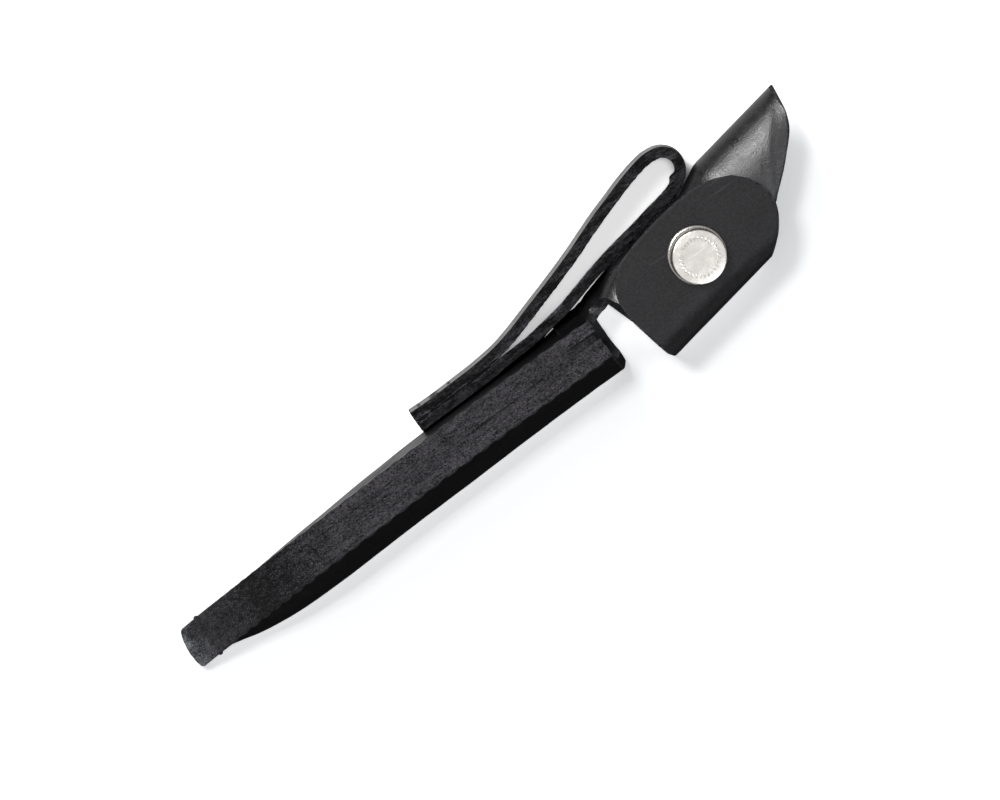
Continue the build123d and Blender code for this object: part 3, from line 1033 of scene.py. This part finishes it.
def make_snap_works():
    """Barrel, socket, spring, stud and eyelet of the snap."""
    for name, (finish, slot, node, body, profile) in SNAP_RINGS.items():
        bm = bmesh.new()
        turn_profile(bm, rounded_ring(profile, 64), closed=True, steps=56)
        seat_snap(bm)
        finish_piece(bm, name, [finish], [node], body)
    bm = bmesh.new()
    turn_profile(bm, smooth_path(STUD_PROFILE, 72), closed=False, steps=56)
    seat_snap(bm)
    finish_piece(bm, "stud_post", ["Nickel plate"], ["snap_stud"], "under_leaf")


# ---- Finishes ----

# Bare fibres at the rubbed tip, paler there also as a painted highlight, and along the strap's flesh side.
RUBBED_AND_LIT_TIP_COLOUR = (0.20, 0.215, 0.23, 1)
FLUFF_COLOUR = (0.085, 0.093, 0.108, 1)


def feed(tree, node, inputs):
    """Links or sets a node's inputs by name or number: a socket is linked, a value is set."""
    for name, item in inputs.items():
        if isinstance(item, bpy.types.NodeSocket):
            tree.links.new(item, node.inputs[name])
        else:
            node.inputs[name].default_value = item


def joined(tree, kind, inputs=None, **settings):
    """Adds a node with its settings and its inputs."""
    node = tree.nodes.new(kind)
    for name, value in settings.items():
        setattr(node, name, value)
    feed(tree, node, inputs or {})
    return node


def new_group(name, inputs, outputs):
    """A shader node group with named float inputs and outputs, and its input and output nodes."""
    group = bpy.data.node_groups.new(name, "ShaderNodeTree")
    group.interface.new_socket("Vector", in_out="INPUT", socket_type="NodeSocketVector")
    for label, value in inputs.items():
        socket = group.interface.new_socket(label, in_out="INPUT", socket_type="NodeSocketFloat")
        socket.default_value = value
    for label in outputs:
        group.interface.new_socket(label, in_out="OUTPUT", socket_type="NodeSocketFloat")
    return group, group.nodes.new("NodeGroupInput").outputs, group.nodes.new("NodeGroupOutput").inputs


def texture(tree, vector, scale, detail=3, roughness=0.5):
    """The value of a noise texture of one scale."""
    inputs = {"Vector": vector, "Scale": scale, "Detail": detail, "Roughness": roughness}
    return joined(tree, "ShaderNodeTexNoise", inputs).outputs[0]


def maths(tree, operation, first, second):
    """A Math node of two values or sockets."""
    return joined(tree, "ShaderNodeMath", {0: first, 1: second}, operation=operation).outputs[0]


def split(tree, vector, axis):
    """One axis of a vector."""
    return joined(tree, "ShaderNodeSeparateXYZ", {"Vector": vector}).outputs[axis]


def product(tree, first, second):
    """Two values or sockets multiplied."""
    return maths(tree, "MULTIPLY", first, second)


def mixture(tree, *parts):
    """The sum of sockets, each with its weight."""
    total = None
    for socket, weight in parts:
        part = socket if weight == 1 else product(tree, socket, weight)
        total = part if total is None else maths(tree, "ADD", total, part)
    return total


def spread(tree, value, low, high, to_low=0, to_high=1):
    """A clamped Map Range node."""
    inputs = {"Value": value, "From Min": low, "From Max": high, "To Min": to_low, "To Max": to_high}
    return joined(tree, "ShaderNodeMapRange", inputs).outputs["Result"]


def bench_ramp(tree, spot, first, last, to_first=0, to_last=1):
    """A value that changes from one bench x to another."""
    along = split(tree, spot, "X")
    return spread(tree, along, place(first, 0, 0).x, place(last, 0, 0).x, to_first, to_last)


def stretched(tree, vector, scale, turn=(0, 0, 0)):
    """A Mapping node that stretches and turns a pattern."""
    inputs = {"Vector": vector, "Scale": scale, "Rotation": turn}
    return joined(tree, "ShaderNodeMapping", inputs).outputs["Vector"]


def blended(tree, mask, first, second):
    """A colour that goes from first, a colour or a socket, to second by a mask."""
    inputs = {"Factor": mask, "A": first, "B": second}
    return joined(tree, "ShaderNodeMix", inputs, data_type="RGBA").outputs["Result"]


def shade(colour, share):
    """A colour made lighter or darker."""
    return (colour[0] * share, colour[1] * share, colour[2] * share, 1)


def build_groups():
    """Grain, fibres and handling marks, which several finishes share."""
    group, inside, outside = new_group("Leather grain", {"Cell size": 1}, ["Height", "Pores"])
    sized = {0: inside["Vector"], "Scale": inside["Cell size"]}
    spot = joined(group, "ShaderNodeVectorMath", sized, operation="SCALE").outputs[0]
    warp = joined(group, "ShaderNodeTexNoise", {"Vector": spot, "Scale": 900, "Detail": 2}).outputs["Color"]
    shift = {0: warp, 1: (0.0004, 0.0004, 0.0004), 2: spot}
    warped = joined(group, "ShaderNodeVectorMath", shift, operation="MULTIPLY_ADD").outputs[0]
    size = {"Vector": warped, "Scale": 1500, "Smoothness": 0.35}
    cells = joined(group, "ShaderNodeTexVoronoi", size, feature="SMOOTH_F1")
    fine = texture(group, spot, 4200, 2)
    broad = texture(group, spot, 260)
    domes = spread(group, cells.outputs["Distance"], 0, 0.7, 1, 0)
    worn = product(group, domes, spread(group, broad, 0.3, 0.7, 0.55, 1))
    group.links.new(mixture(group, (worn, 1), (fine, 0.28)), outside["Height"])
    group.links.new(spread(group, domes, 0.15, 0.5), outside["Pores"])

    group, inside, outside = new_group("Edge fibres", {}, ["Height", "Streaks"])
    spot = inside["Vector"]
    streaks = texture(group, stretched(group, spot, (160, 900, 900)), 1, 5, 0.62)
    hairs = texture(group, stretched(group, spot, (900, 3800, 3800)), 1, 4, 0.65)
    fuzz = texture(group, spot, 3200, 4, 0.7)
    mixed = mixture(group, (streaks, 0.5), (hairs, 0.5))
    group.links.new(mixture(group, (mixed, 1), (fuzz, 0.35)), outside["Height"])
    group.links.new(spread(group, mixed, 0.34, 0.68), outside["Streaks"])

    group, inside, outside = new_group("Handling marks", {"Amount": 0.5}, ["Scuffs", "Scratches"])
    spot = inside["Vector"]
    scuffs = spread(group, texture(group, spot, 55, 4, 0.6), 0.48, 0.72)
    lines = stretched(group, spot, (45, 1500, 700), (0.2, 0.1, 0.55))
    fine_lines = spread(group, texture(group, lines, 1, 1, 0.4), 0.68, 0.76)
    here_and_there = spread(group, texture(group, spot, 90, 2), 0.45, 0.6)
    marks = product(group, fine_lines, here_and_there)
    group.links.new(product(group, scuffs, inside["Amount"]), outside["Scuffs"])
    group.links.new(product(group, marks, inside["Amount"]), outside["Scratches"])


def group_outputs(tree, name, vector, **values):
    """Places a shared group in a material; returns its outputs."""
    node = joined(tree, "ShaderNodeGroup", node_tree=bpy.data.node_groups[name])
    inputs = {label.replace("_", " "): value for label, value in values.items()}
    feed(tree, node, {"Vector": vector, **inputs})
    return node.outputs


def start_material(name):
    """A material's node tree, its Principled shader and its object coordinates."""
    material = bpy.data.materials.new(name)
    material.use_nodes = True
    tree = material.node_tree
    return tree, tree.nodes["Principled BSDF"], tree.nodes.new("ShaderNodeTexCoord").outputs["Object"]


def cut_place(tree):
    """Where each point of a piece was cut from: x, y and depth, in millimetres."""
    node = joined(tree, "ShaderNodeAttribute", attribute_name="lay", attribute_type="GEOMETRY")
    return node.outputs["Vector"]


def dress(tree, shader, colour, dull, height, relief, gloss=0.5):
    """Feeds a shader its colour, its roughness and a bump that is relief metres high."""
    bump = joined(tree, "ShaderNodeBump", {"Strength": 1, "Distance": relief, "Height": height})
    feed(tree, shader, {"Base Color": colour, "Roughness": dull, "Specular IOR Level": gloss})
    feed(tree, shader, {"Normal": bump.outputs["Normal"]})


def make_grain_leather(name, colour, dull, relief, gloss=0.35, fineness=1):
    """Dyed and oiled leather: fine grain, soft mottling, scuffs and a few scratches."""
    tree, shader, spot = start_material(name)
    grain = group_outputs(tree, "Leather grain", spot, Cell_size=fineness)
    marks = group_outputs(tree, "Handling marks", spot, Amount=0.6)
    mottle = texture(tree, spot, 120, 4, 0.6)
    speck = spread(tree, texture(tree, spot, 2600, 2, 0.7), 0.3, 0.7, -0.3, 0.3)
    tone = mixture(tree, (mottle, 0.6), (grain["Pores"], 0.3), (marks["Scratches"], 1.6), (speck, 1))
    dyed = blended(tree, spread(tree, tone, 0.15, 1.3), shade(colour, 0.5), shade(colour, 2.7))
    polish = spread(tree, mottle, 0.3, 0.7, dull - 0.06, dull + 0.08)
    worn = mixture(tree, (polish, 1), (marks["Scuffs"], 0.1))
    height = mixture(tree, (grain["Height"], 1), (marks["Scratches"], -0.5))
    dress(tree, shader, dyed, worn, height, relief, gloss)


def make_cut_edge(name, colour, share):
    """A sanded and dyed cut edge: fine fibres and flecks, painted shade along the steep slope near the tip,
    and a rubbed tip that is paler, partly as a painted highlight.
    """
    tree, shader, spot = start_material(name)
    fibres = group_outputs(tree, "Edge fibres", spot)
    patches = texture(tree, spot, 150, 4, 0.6)
    grit = texture(tree, stretched(tree, spot, (0.7, 1, 1)), 3200, 3, 0.65)
    lumps = texture(tree, spot, 1300, 2)
    tone = mixture(tree, (fibres["Streaks"], 0.36), (grit, 1.14), (patches, 0.25), (lumps, 0.25))
    # Painted shade: the edge is darker along its steep slope near the tip, from about 7 to 46 mm along.
    darker = bench_ramp(tree, spot, 7, 20, 0, -0.16)
    lighter = bench_ramp(tree, spot, 27, 46, 0, 0.16)
    toned_with_slope_shade = spread(tree, mixture(tree, (tone, 1), (darker, 1), (lighter, 1)), 0.80, 1.12)
    dyed = blended(tree, toned_with_slope_shade, shade(colour, 0.08 * share), shade(colour, 2.4 * share))
    flecks = product(tree, spread(tree, grit, 0.57, 0.70), spread(tree, patches, 0.42, 0.62, 0.15, 1))
    dyed = blended(tree, flecks, dyed, shade(colour, 6))
    # Pale patches at the tip: rubbed bare fibres, and also a painted highlight where the tip faces the light.
    rubbed_and_lit_patches = spread(tree, maths(tree, "ADD", patches, grit), 0.9, 1.15)
    dyed = blended(tree, product(tree, bench_ramp(tree, spot, 4.2, -1.5), rubbed_and_lit_patches), dyed, RUBBED_AND_LIT_TIP_COLOUR)
    height = mixture(tree, (fibres["Height"], 1), (grit, 0.6), (lumps, 1))
    dress(tree, shader, dyed, spread(tree, tone, 0.5, 1.3, 0.62, 0.87), height, 0.0003, 0.15)


def make_strap_edge(name, colour):
    """The strap's dyed edge: pale fluff along its flesh side, and a dark line where it is sewn."""
    tree, shader, spot = start_material(name)
    depth = split(tree, cut_place(tree), "Z")
    fibres = group_outputs(tree, "Edge fibres", spot)
    grit = texture(tree, spot, 2400, 4, 0.7)
    patches = texture(tree, spot, 260)
    tone = mixture(tree, (fibres["Streaks"], 0.5), (grit, 0.8))
    dark = shade(colour, 0.045)
    dyed = blended(tree, spread(tree, tone, 0.56, 0.86), dark, shade(colour, 2.07))
    flesh_side = spread(tree, mixture(tree, (depth, 1), (patches, 1.6)), 2.3, 3.3)
    fluff = product(tree, flesh_side, spread(tree, tone, 0.66, 0.86, 0, 0.7))
    dyed = blended(tree, fluff, dyed, FLUFF_COLOUR)
    sewn = product(tree, spread(tree, depth, 2.45, 2.65), bench_ramp(tree, spot, 106, 102))
    height = maths(tree, "ADD", fibres["Height"], grit)
    dull = spread(tree, grit, 0.3, 0.7, 0.62, 0.9)
    dress(tree, shader, blended(tree, sewn, dyed, dark), dull, height, 0.0004, 0.18)


def make_flesh(name, colour):
    """The fuzzy flesh side."""
    tree, shader, spot = start_material(name)
    clumps = texture(tree, spot, 320, 3, 0.6)
    tone = mixture(tree, (texture(tree, spot, 1500, 5, 0.72), 0.6), (clumps, 0.5))
    dyed = blended(tree, spread(tree, tone, 0.35, 0.8), shade(colour, 0.45), shade(colour, 1.5))
    dress(tree, shader, dyed, spread(tree, clumps, 0.3, 0.7, 0.82, 0.96), tone, 0.0002, 0.2)
    feed(tree, shader, {"Sheen Weight": 0.25, "Sheen Roughness": 0.6})


def make_thread_finish(name, colour):
    """Waxed thread, twisted from fine strands."""
    tree, shader = start_material(name)[:2]
    slant = (0, 0, 0.75)
    twisted = stretched(tree, cut_place(tree), (1, 1, 1), slant)
    wave = {"Vector": twisted, "Scale": 0.55, "Distortion": 0.6, "Detail": 1}
    twist = joined(tree, "ShaderNodeTexWave", wave, bands_direction="X").outputs["Fac"]
    strands = texture(tree, stretched(tree, cut_place(tree), (2, 14, 14), slant), 1, 2)
    height = mixture(tree, (twist, 1), (strands, 0.4))
    dyed = blended(tree, spread(tree, height, 0.2, 1.2), shade(colour, 0.5), shade(colour, 2))
    dress(tree, shader, dyed, spread(tree, strands, 0.3, 0.7, 0.42, 0.6), height, 0.00007)


def make_metal(name, colour, dull):
    """Plated metal with fine handling scratches and a faint bloom."""
    tree, shader, spot = start_material(name)
    marks = group_outputs(tree, "Handling marks", spot, Amount=0.8)
    bloom = texture(tree, spot, 420, 4, 0.6)
    brushed = texture(tree, stretched(tree, spot, (300, 5200, 5200), (0, 0, 0.9)), 1, 2)
    plated = blended(tree, spread(tree, bloom, 0.3, 0.7), shade(colour, 0.92), shade(colour, 1.05))
    polish = spread(tree, bloom, 0.3, 0.7, dull - 0.05, dull + 0.07)
    worn = mixture(tree, (polish, 1), (marks["Scratches"], 0.2))
    dress(tree, shader, plated, worn, brushed, 0.0000012)
    feed(tree, shader, {"Metallic": 1})


# ---- Settings and operators ----


def colour_setting(name, description, default):
    """A colour that a user may change."""
    return bpy.props.FloatVectorProperty(
        name=name, description=description, subtype="COLOR", default=default,
    )


def lamp_setting(name, description, default):
    """The power of a lamp, in watts."""
    return bpy.props.FloatProperty(
        name=name, description=description, default=default, min=0, subtype="POWER",
    )


class SheathSizes(bpy.types.PropertyGroup):
    """Sizes that a user may change"""

    stitch_pitch: bpy.props.FloatProperty(
        name="Stitch pitch", description="Distance from one stitch to the next",
        default=0.00508, min=0.003, max=0.01, unit="LENGTH",
    )
    cap_beads: bpy.props.IntProperty(
        name="Cap beads", description="How many beads go round the snap cap", default=30, min=8, max=80,
    )


class SheathColours(bpy.types.PropertyGroup):
    """Colours of the leather, thread and metal"""

    leather: colour_setting("Leather", "Grain side of the leather", (0.0072, 0.0069, 0.0077))
    cut_edge: colour_setting("Cut edge", "Sanded and dyed cut edge", (0.019, 0.018, 0.0198))
    flesh: colour_setting("Flesh side", "Rough inner side of the leather", (0.05, 0.051, 0.054))
    thread: colour_setting("Thread", "Waxed thread", (0.012, 0.012, 0.013))
    nickel: colour_setting("Nickel", "Plating of the snap", (0.765, 0.73, 0.68))


class StageSettings(bpy.types.PropertyGroup):
    """Camera, lamps and floor"""

    camera_height: bpy.props.FloatProperty(
        name="Camera height", description="Height of the camera above the sewn edge",
        default=4, min=0.4, max=8, unit="LENGTH",
    )
    key_power: lamp_setting("Key lamp", "Large soft lamp on the belt's side", 11.6)
    fill_power: lamp_setting("Fill lamp", "Soft lamp on the front's side", 3.4)
    top_power: lamp_setting("Top lamp", "Small lamp that draws the shadow", 13)
    floor: colour_setting("Floor", "Colour of the floor in the light that it throws back", (0.2, 0.2, 0.2))


class SHEATH_OT_finishes(bpy.types.Operator):
    """Mixes the leather, thread and metal finishes"""

    bl_idname = "sheath.finishes"
    bl_label = "Finishes"

    def execute(self, context):
        colours = context.scene.sheath_colours
        build_groups()
        # The pouch's leather is the same leather made darker, 0.7 of its colour, as a painted shade of the
        # pouch.
        make_grain_leather("Shaded pouch leather", shade(colours.leather, 0.7), 0.38, 0.00005, 0.16)
        make_grain_leather("Polished leather", colours.leather, 0.27, 0.00005, 0.76, 1.7)
        make_grain_leather("Matt leather", colours.leather, 0.47, 0.00005, 0.25)
        make_grain_leather("Strap grain leather", colours.leather, 0.34, 0.00005)
        make_cut_edge("Cut leather edge", colours.cut_edge, 1)
        # The welts' edges are 0.9 as light as the panels' cut edges, a painted shade of the sunken welt
        # layers.
        make_cut_edge("Shaded welt edge", colours.cut_edge, 0.9)
        make_strap_edge("Strap cut edge", colours.cut_edge)
        make_flesh("Leather flesh side", colours.flesh)
        make_thread_finish("Waxed black thread", colours.thread)
        make_metal("Nickel plate", colours.nickel, 0.24)
        make_metal("Spring wire", shade(colours.nickel, 0.7), 0.3)
        return {"FINISHED"}


class SHEATH_OT_pouch(bpy.types.Operator):
    """Makes the folded pouch"""

    bl_idname = "sheath.pouch"
    bl_label = "Pouch"

    def execute(self, context):
        make_pouch()
        return {"FINISHED"}


class SHEATH_OT_welts(bpy.types.Operator):
    """Makes the two filler strips of the sewn edge"""

    bl_idname = "sheath.welts"
    bl_label = "Welts"

    def execute(self, context):
        make_welt("front_welt", FRONT_WELT)
        make_welt("back_welt", BACK_WELT)
        return {"FINISHED"}


class SHEATH_OT_wings(bpy.types.Operator):
    """Makes the keeper's two wings with their leaves"""

    bl_idname = "sheath.wings"
    bl_label = "Keeper wings"

    def execute(self, context):
        make_back_wing()
        make_front_wing()
        return {"FINISHED"}


class SHEATH_OT_belt_loop(bpy.types.Operator):
    """Makes the belt loop"""

    bl_idname = "sheath.belt_loop"
    bl_label = "Belt loop"

    def execute(self, context):
        make_belt_loop()
        return {"FINISHED"}


class SHEATH_OT_threads(bpy.types.Operator):
    """Sews the edge seam and the belt loop"""

    bl_idname = "sheath.threads"
    bl_label = "Threads"

    def execute(self, context):
        make_edge_thread("front_stitches", "edge_needle_thread", -1)
        make_edge_thread("back_stitches", "edge_bobbin_thread", 1)
        make_loop_thread("loop_outer_stitches", "loop_needle_thread", True)
        make_loop_thread("loop_lining_stitches", "loop_bobbin_thread", False)
        make_thread_ends()
        return {"FINISHED"}


class SHEATH_OT_snap(bpy.types.Operator):
    """Makes the snap fastener"""

    bl_idname = "sheath.snap"
    bl_label = "Snap"

    def execute(self, context):
        make_snap_cap()
        make_snap_works()
        return {"FINISHED"}


class SHEATH_OT_stage(bpy.types.Operator):
    """Sets up the floor, the lamps, the world and the camera"""

    bl_idname = "sheath.stage"
    bl_label = "Stage"

    def execute(self, context):
        set_stage(context.scene.stage_settings)
        return {"FINISHED"}


VIEW_TURN = math.radians(35.54)
VIEW_WIDTH = 0.25
FLOOR_HALF = 3
FLOOR_GAP = 0.0002
SENSOR = 36
view_up = Vector((math.sin(VIEW_TURN), math.cos(VIEW_TURN), 0))
lamp_up = Vector((0.31, 0.95, 0.05))
target = place(98.66, 4.80, EDGE_Z)


def aimed(eye, up):
    """A matrix that looks from eye to the target with up towards the top."""
    back = (eye - target).normalized()
    right = up.cross(back).normalized()
    turn = Matrix((right, back.cross(right), back)).transposed().to_4x4()
    return Matrix.Translation(eye) @ turn


def add_lamp(name, offset, width, power, tint=(1, 1, 1)):
    """A square soft lamp at an offset from the target; returns its object."""
    lamp = bpy.data.lights.new(name, "AREA")
    lamp.shape = "SQUARE"
    lamp.size = width
    lamp.energy = power
    lamp.color = tint
    holder = bpy.data.objects.new(name, lamp)
    bpy.context.scene.collection.objects.link(holder)
    holder.matrix_world = aimed(target + Vector(offset), lamp_up)
    return holder


def openness(tree, distance, samples=12, **inputs):
    """How open the floor is within a distance: 1 with nothing near, 0 where it is shut in."""
    inputs["Distance"] = distance
    return joined(tree, "ShaderNodeAmbientOcclusion", inputs, samples=samples).outputs["AO"]


def make_floor_finish(colour):
    """A pale floor that glows to the camera, and is dark in reflections beside the sheath."""
    tree, shader, spot = start_material("Pale floor")
    rays = tree.nodes.new("ShaderNodeLightPath").outputs
    mirrored = maths(tree, "MAXIMUM", rays["Is Glossy Ray"], rays["Is Transmission Ray"])
    # The floor's colour depends on the ray: nearly white to the camera, the floor setting in bounced light,
    # and nearly black in reflections as a painted dark reflection.
    pale = blended(tree, rays["Is Camera Ray"], (*colour, 1), (0.95, 0.95, 0.95, 1))
    pale = blended(tree, mirrored, pale, (0.02, 0.02, 0.02, 1))

    # Painted light: to the camera the floor glows, weakly near the sheath and more further out, and more
    # inside the belt loop; a painted shade cuts the glow in narrow gaps beside the sheath.
    away = joined(tree, "ShaderNodeVectorMath", {"Vector": spot}, operation="LENGTH").outputs["Value"]
    glow_by_distance = spread(tree, away, 0.12, 0.45, 0.175, 0.5)
    painted_light_in_loop = spread(tree, openness(tree, 0.03), 0.62, 0.3, 0, 0.5)
    painted_camera_glow = maths(tree, "ADD", glow_by_distance, painted_light_in_loop)
    painted_camera_glow = product(tree, painted_camera_glow, spread(tree, openness(tree, 0.004), 0.25, 0.6))

    # Painted reflection: in reflections the floor glows on the belt's side and away from the sheath, and
    # stays dark close beside its front.
    slant = joined(tree, "ShaderNodeCombineXYZ", {"X": -0.126, "Y": 0.756, "Z": 0.643}).outputs["Vector"]
    painted_reflection_belt_side = spread(tree, split(tree, spot, "Y"), -0.006, 0.002, 0, 0.12)
    painted_reflection_belt_side = product(tree, painted_reflection_belt_side, bench_ramp(tree, spot, 180, 168))
    beside = maths(tree, "ADD", openness(tree, 0.2, 8, Normal=slant), painted_reflection_belt_side)
    mirror_glow = product(tree, mirrored, spread(tree, beside, 0.88, 1, 0, 0.85))
    glow = maths(tree, "MAXIMUM", product(tree, rays["Is Camera Ray"], painted_camera_glow), mirror_glow)
    feed(tree, shader, {"Base Color": pale, "Roughness": 0.9, "Specular IOR Level": 0.1})
    feed(tree, shader, {"Emission Color": (1, 1, 1, 1), "Emission Strength": glow})


def make_floor(colour):
    """The floor, just under the sheath."""
    make_floor_finish(colour)
    bm = bmesh.new()
    bmesh.ops.create_grid(bm, x_segments=1, y_segments=1, size=FLOOR_HALF)
    bmesh.ops.translate(bm, verts=bm.verts, vec=(0, 0, -FLOOR_GAP))
    mesh = bpy.data.meshes.new("floor")
    bm.to_mesh(mesh)
    bm.free()
    mesh.materials.append(bpy.data.materials["Pale floor"])
    floor = bpy.data.objects.new("floor", mesh)
    bpy.context.scene.collection.objects.link(floor)


def set_world():
    """A sky that is bright overhead and dim at the sides."""
    world = bpy.data.worlds.new("Studio")
    bpy.context.scene.world = world
    world.use_nodes = True
    tree = world.node_tree
    sky = tree.nodes["Background"]
    way = tree.nodes.new("ShaderNodeTexCoord").outputs["Generated"]
    strength = spread(tree, split(tree, way, "Z"), 0.25, 1, 0.08, 0.92)
    feed(tree, sky, {"Color": (0.98, 0.98, 1, 1), "Strength": strength})


def set_camera(height):
    """A camera straight above the sewn edge."""
    scene = bpy.context.scene
    camera = bpy.data.cameras.new("Camera")
    camera.sensor_width = SENSOR
    camera.lens = height * SENSOR / VIEW_WIDTH
    camera.clip_start = 0.01
    camera.clip_end = 20
    holder = bpy.data.objects.new("Camera", camera)
    scene.collection.objects.link(holder)
    holder.matrix_world = aimed(target + Vector((0, 0, height)), view_up)
    scene.camera = holder
    scene.view_settings.view_transform = "Standard"


def set_stage(settings):
    """Floor, world, lamps and camera."""
    make_floor(settings.floor)
    set_world()
    add_lamp("Key lamp", (-0.12, 0.80, 1.02), 0.52, settings.key_power)
    add_lamp("Fill lamp", (0.095, -0.58, 1.14), 0.42, settings.fill_power, (0.92, 0.965, 1))
    top = add_lamp("Top lamp", (-0.065, 0.385, 2), 0.2, settings.top_power)
    top.visible_glossy = False
    set_camera(settings.camera_height)


class SHEATH_PT_panel(bpy.types.Panel):
    """Lists the sheath's sizes, colours and pieces"""

    bl_idname = "SHEATH_PT_panel"
    bl_label = "Knife sheath"
    bl_space_type = "VIEW_3D"
    bl_region_type = "UI"
    bl_category = "Sheath"

    def draw(self, context):
        for group in (context.scene.sheath_sizes, context.scene.sheath_colours, context.scene.stage_settings):
            column = self.layout.column()
            for name in group.__annotations__:
                column.prop(group, name)
        column = self.layout.column()
        for operator in operators:
            column.operator(operator.bl_idname)


operators = (
    SHEATH_OT_finishes,
    SHEATH_OT_pouch,
    SHEATH_OT_welts,
    SHEATH_OT_wings,
    SHEATH_OT_belt_loop,
    SHEATH_OT_threads,
    SHEATH_OT_snap,
    SHEATH_OT_stage,
)
classes = (SheathSizes, SheathColours, StageSettings) + operators + (SHEATH_PT_panel,)


def register():
    """Registers the classes and hangs the settings on the scene."""
    for item in classes:
        bpy.utils.register_class(item)
    bpy.types.Scene.sheath_sizes = bpy.props.PointerProperty(type=SheathSizes)
    bpy.types.Scene.sheath_colours = bpy.props.PointerProperty(type=SheathColours)
    bpy.types.Scene.stage_settings = bpy.props.PointerProperty(type=StageSettings)


def unregister():
    """Takes the settings and the classes away again."""
    del bpy.types.Scene.stage_settings
    del bpy.types.Scene.sheath_colours
    del bpy.types.Scene.sheath_sizes
    for item in reversed(classes):
        bpy.utils.unregister_class(item)


def main():
    """Makes every piece and the stage."""
    register()
    bpy.ops.sheath.finishes()
    bpy.ops.sheath.pouch()
    bpy.ops.sheath.welts()
    bpy.ops.sheath.wings()
    bpy.ops.sheath.belt_loop()
    bpy.ops.sheath.threads()
    bpy.ops.sheath.snap()
    bpy.ops.sheath.stage()


if __name__ == "__main__":
    main()
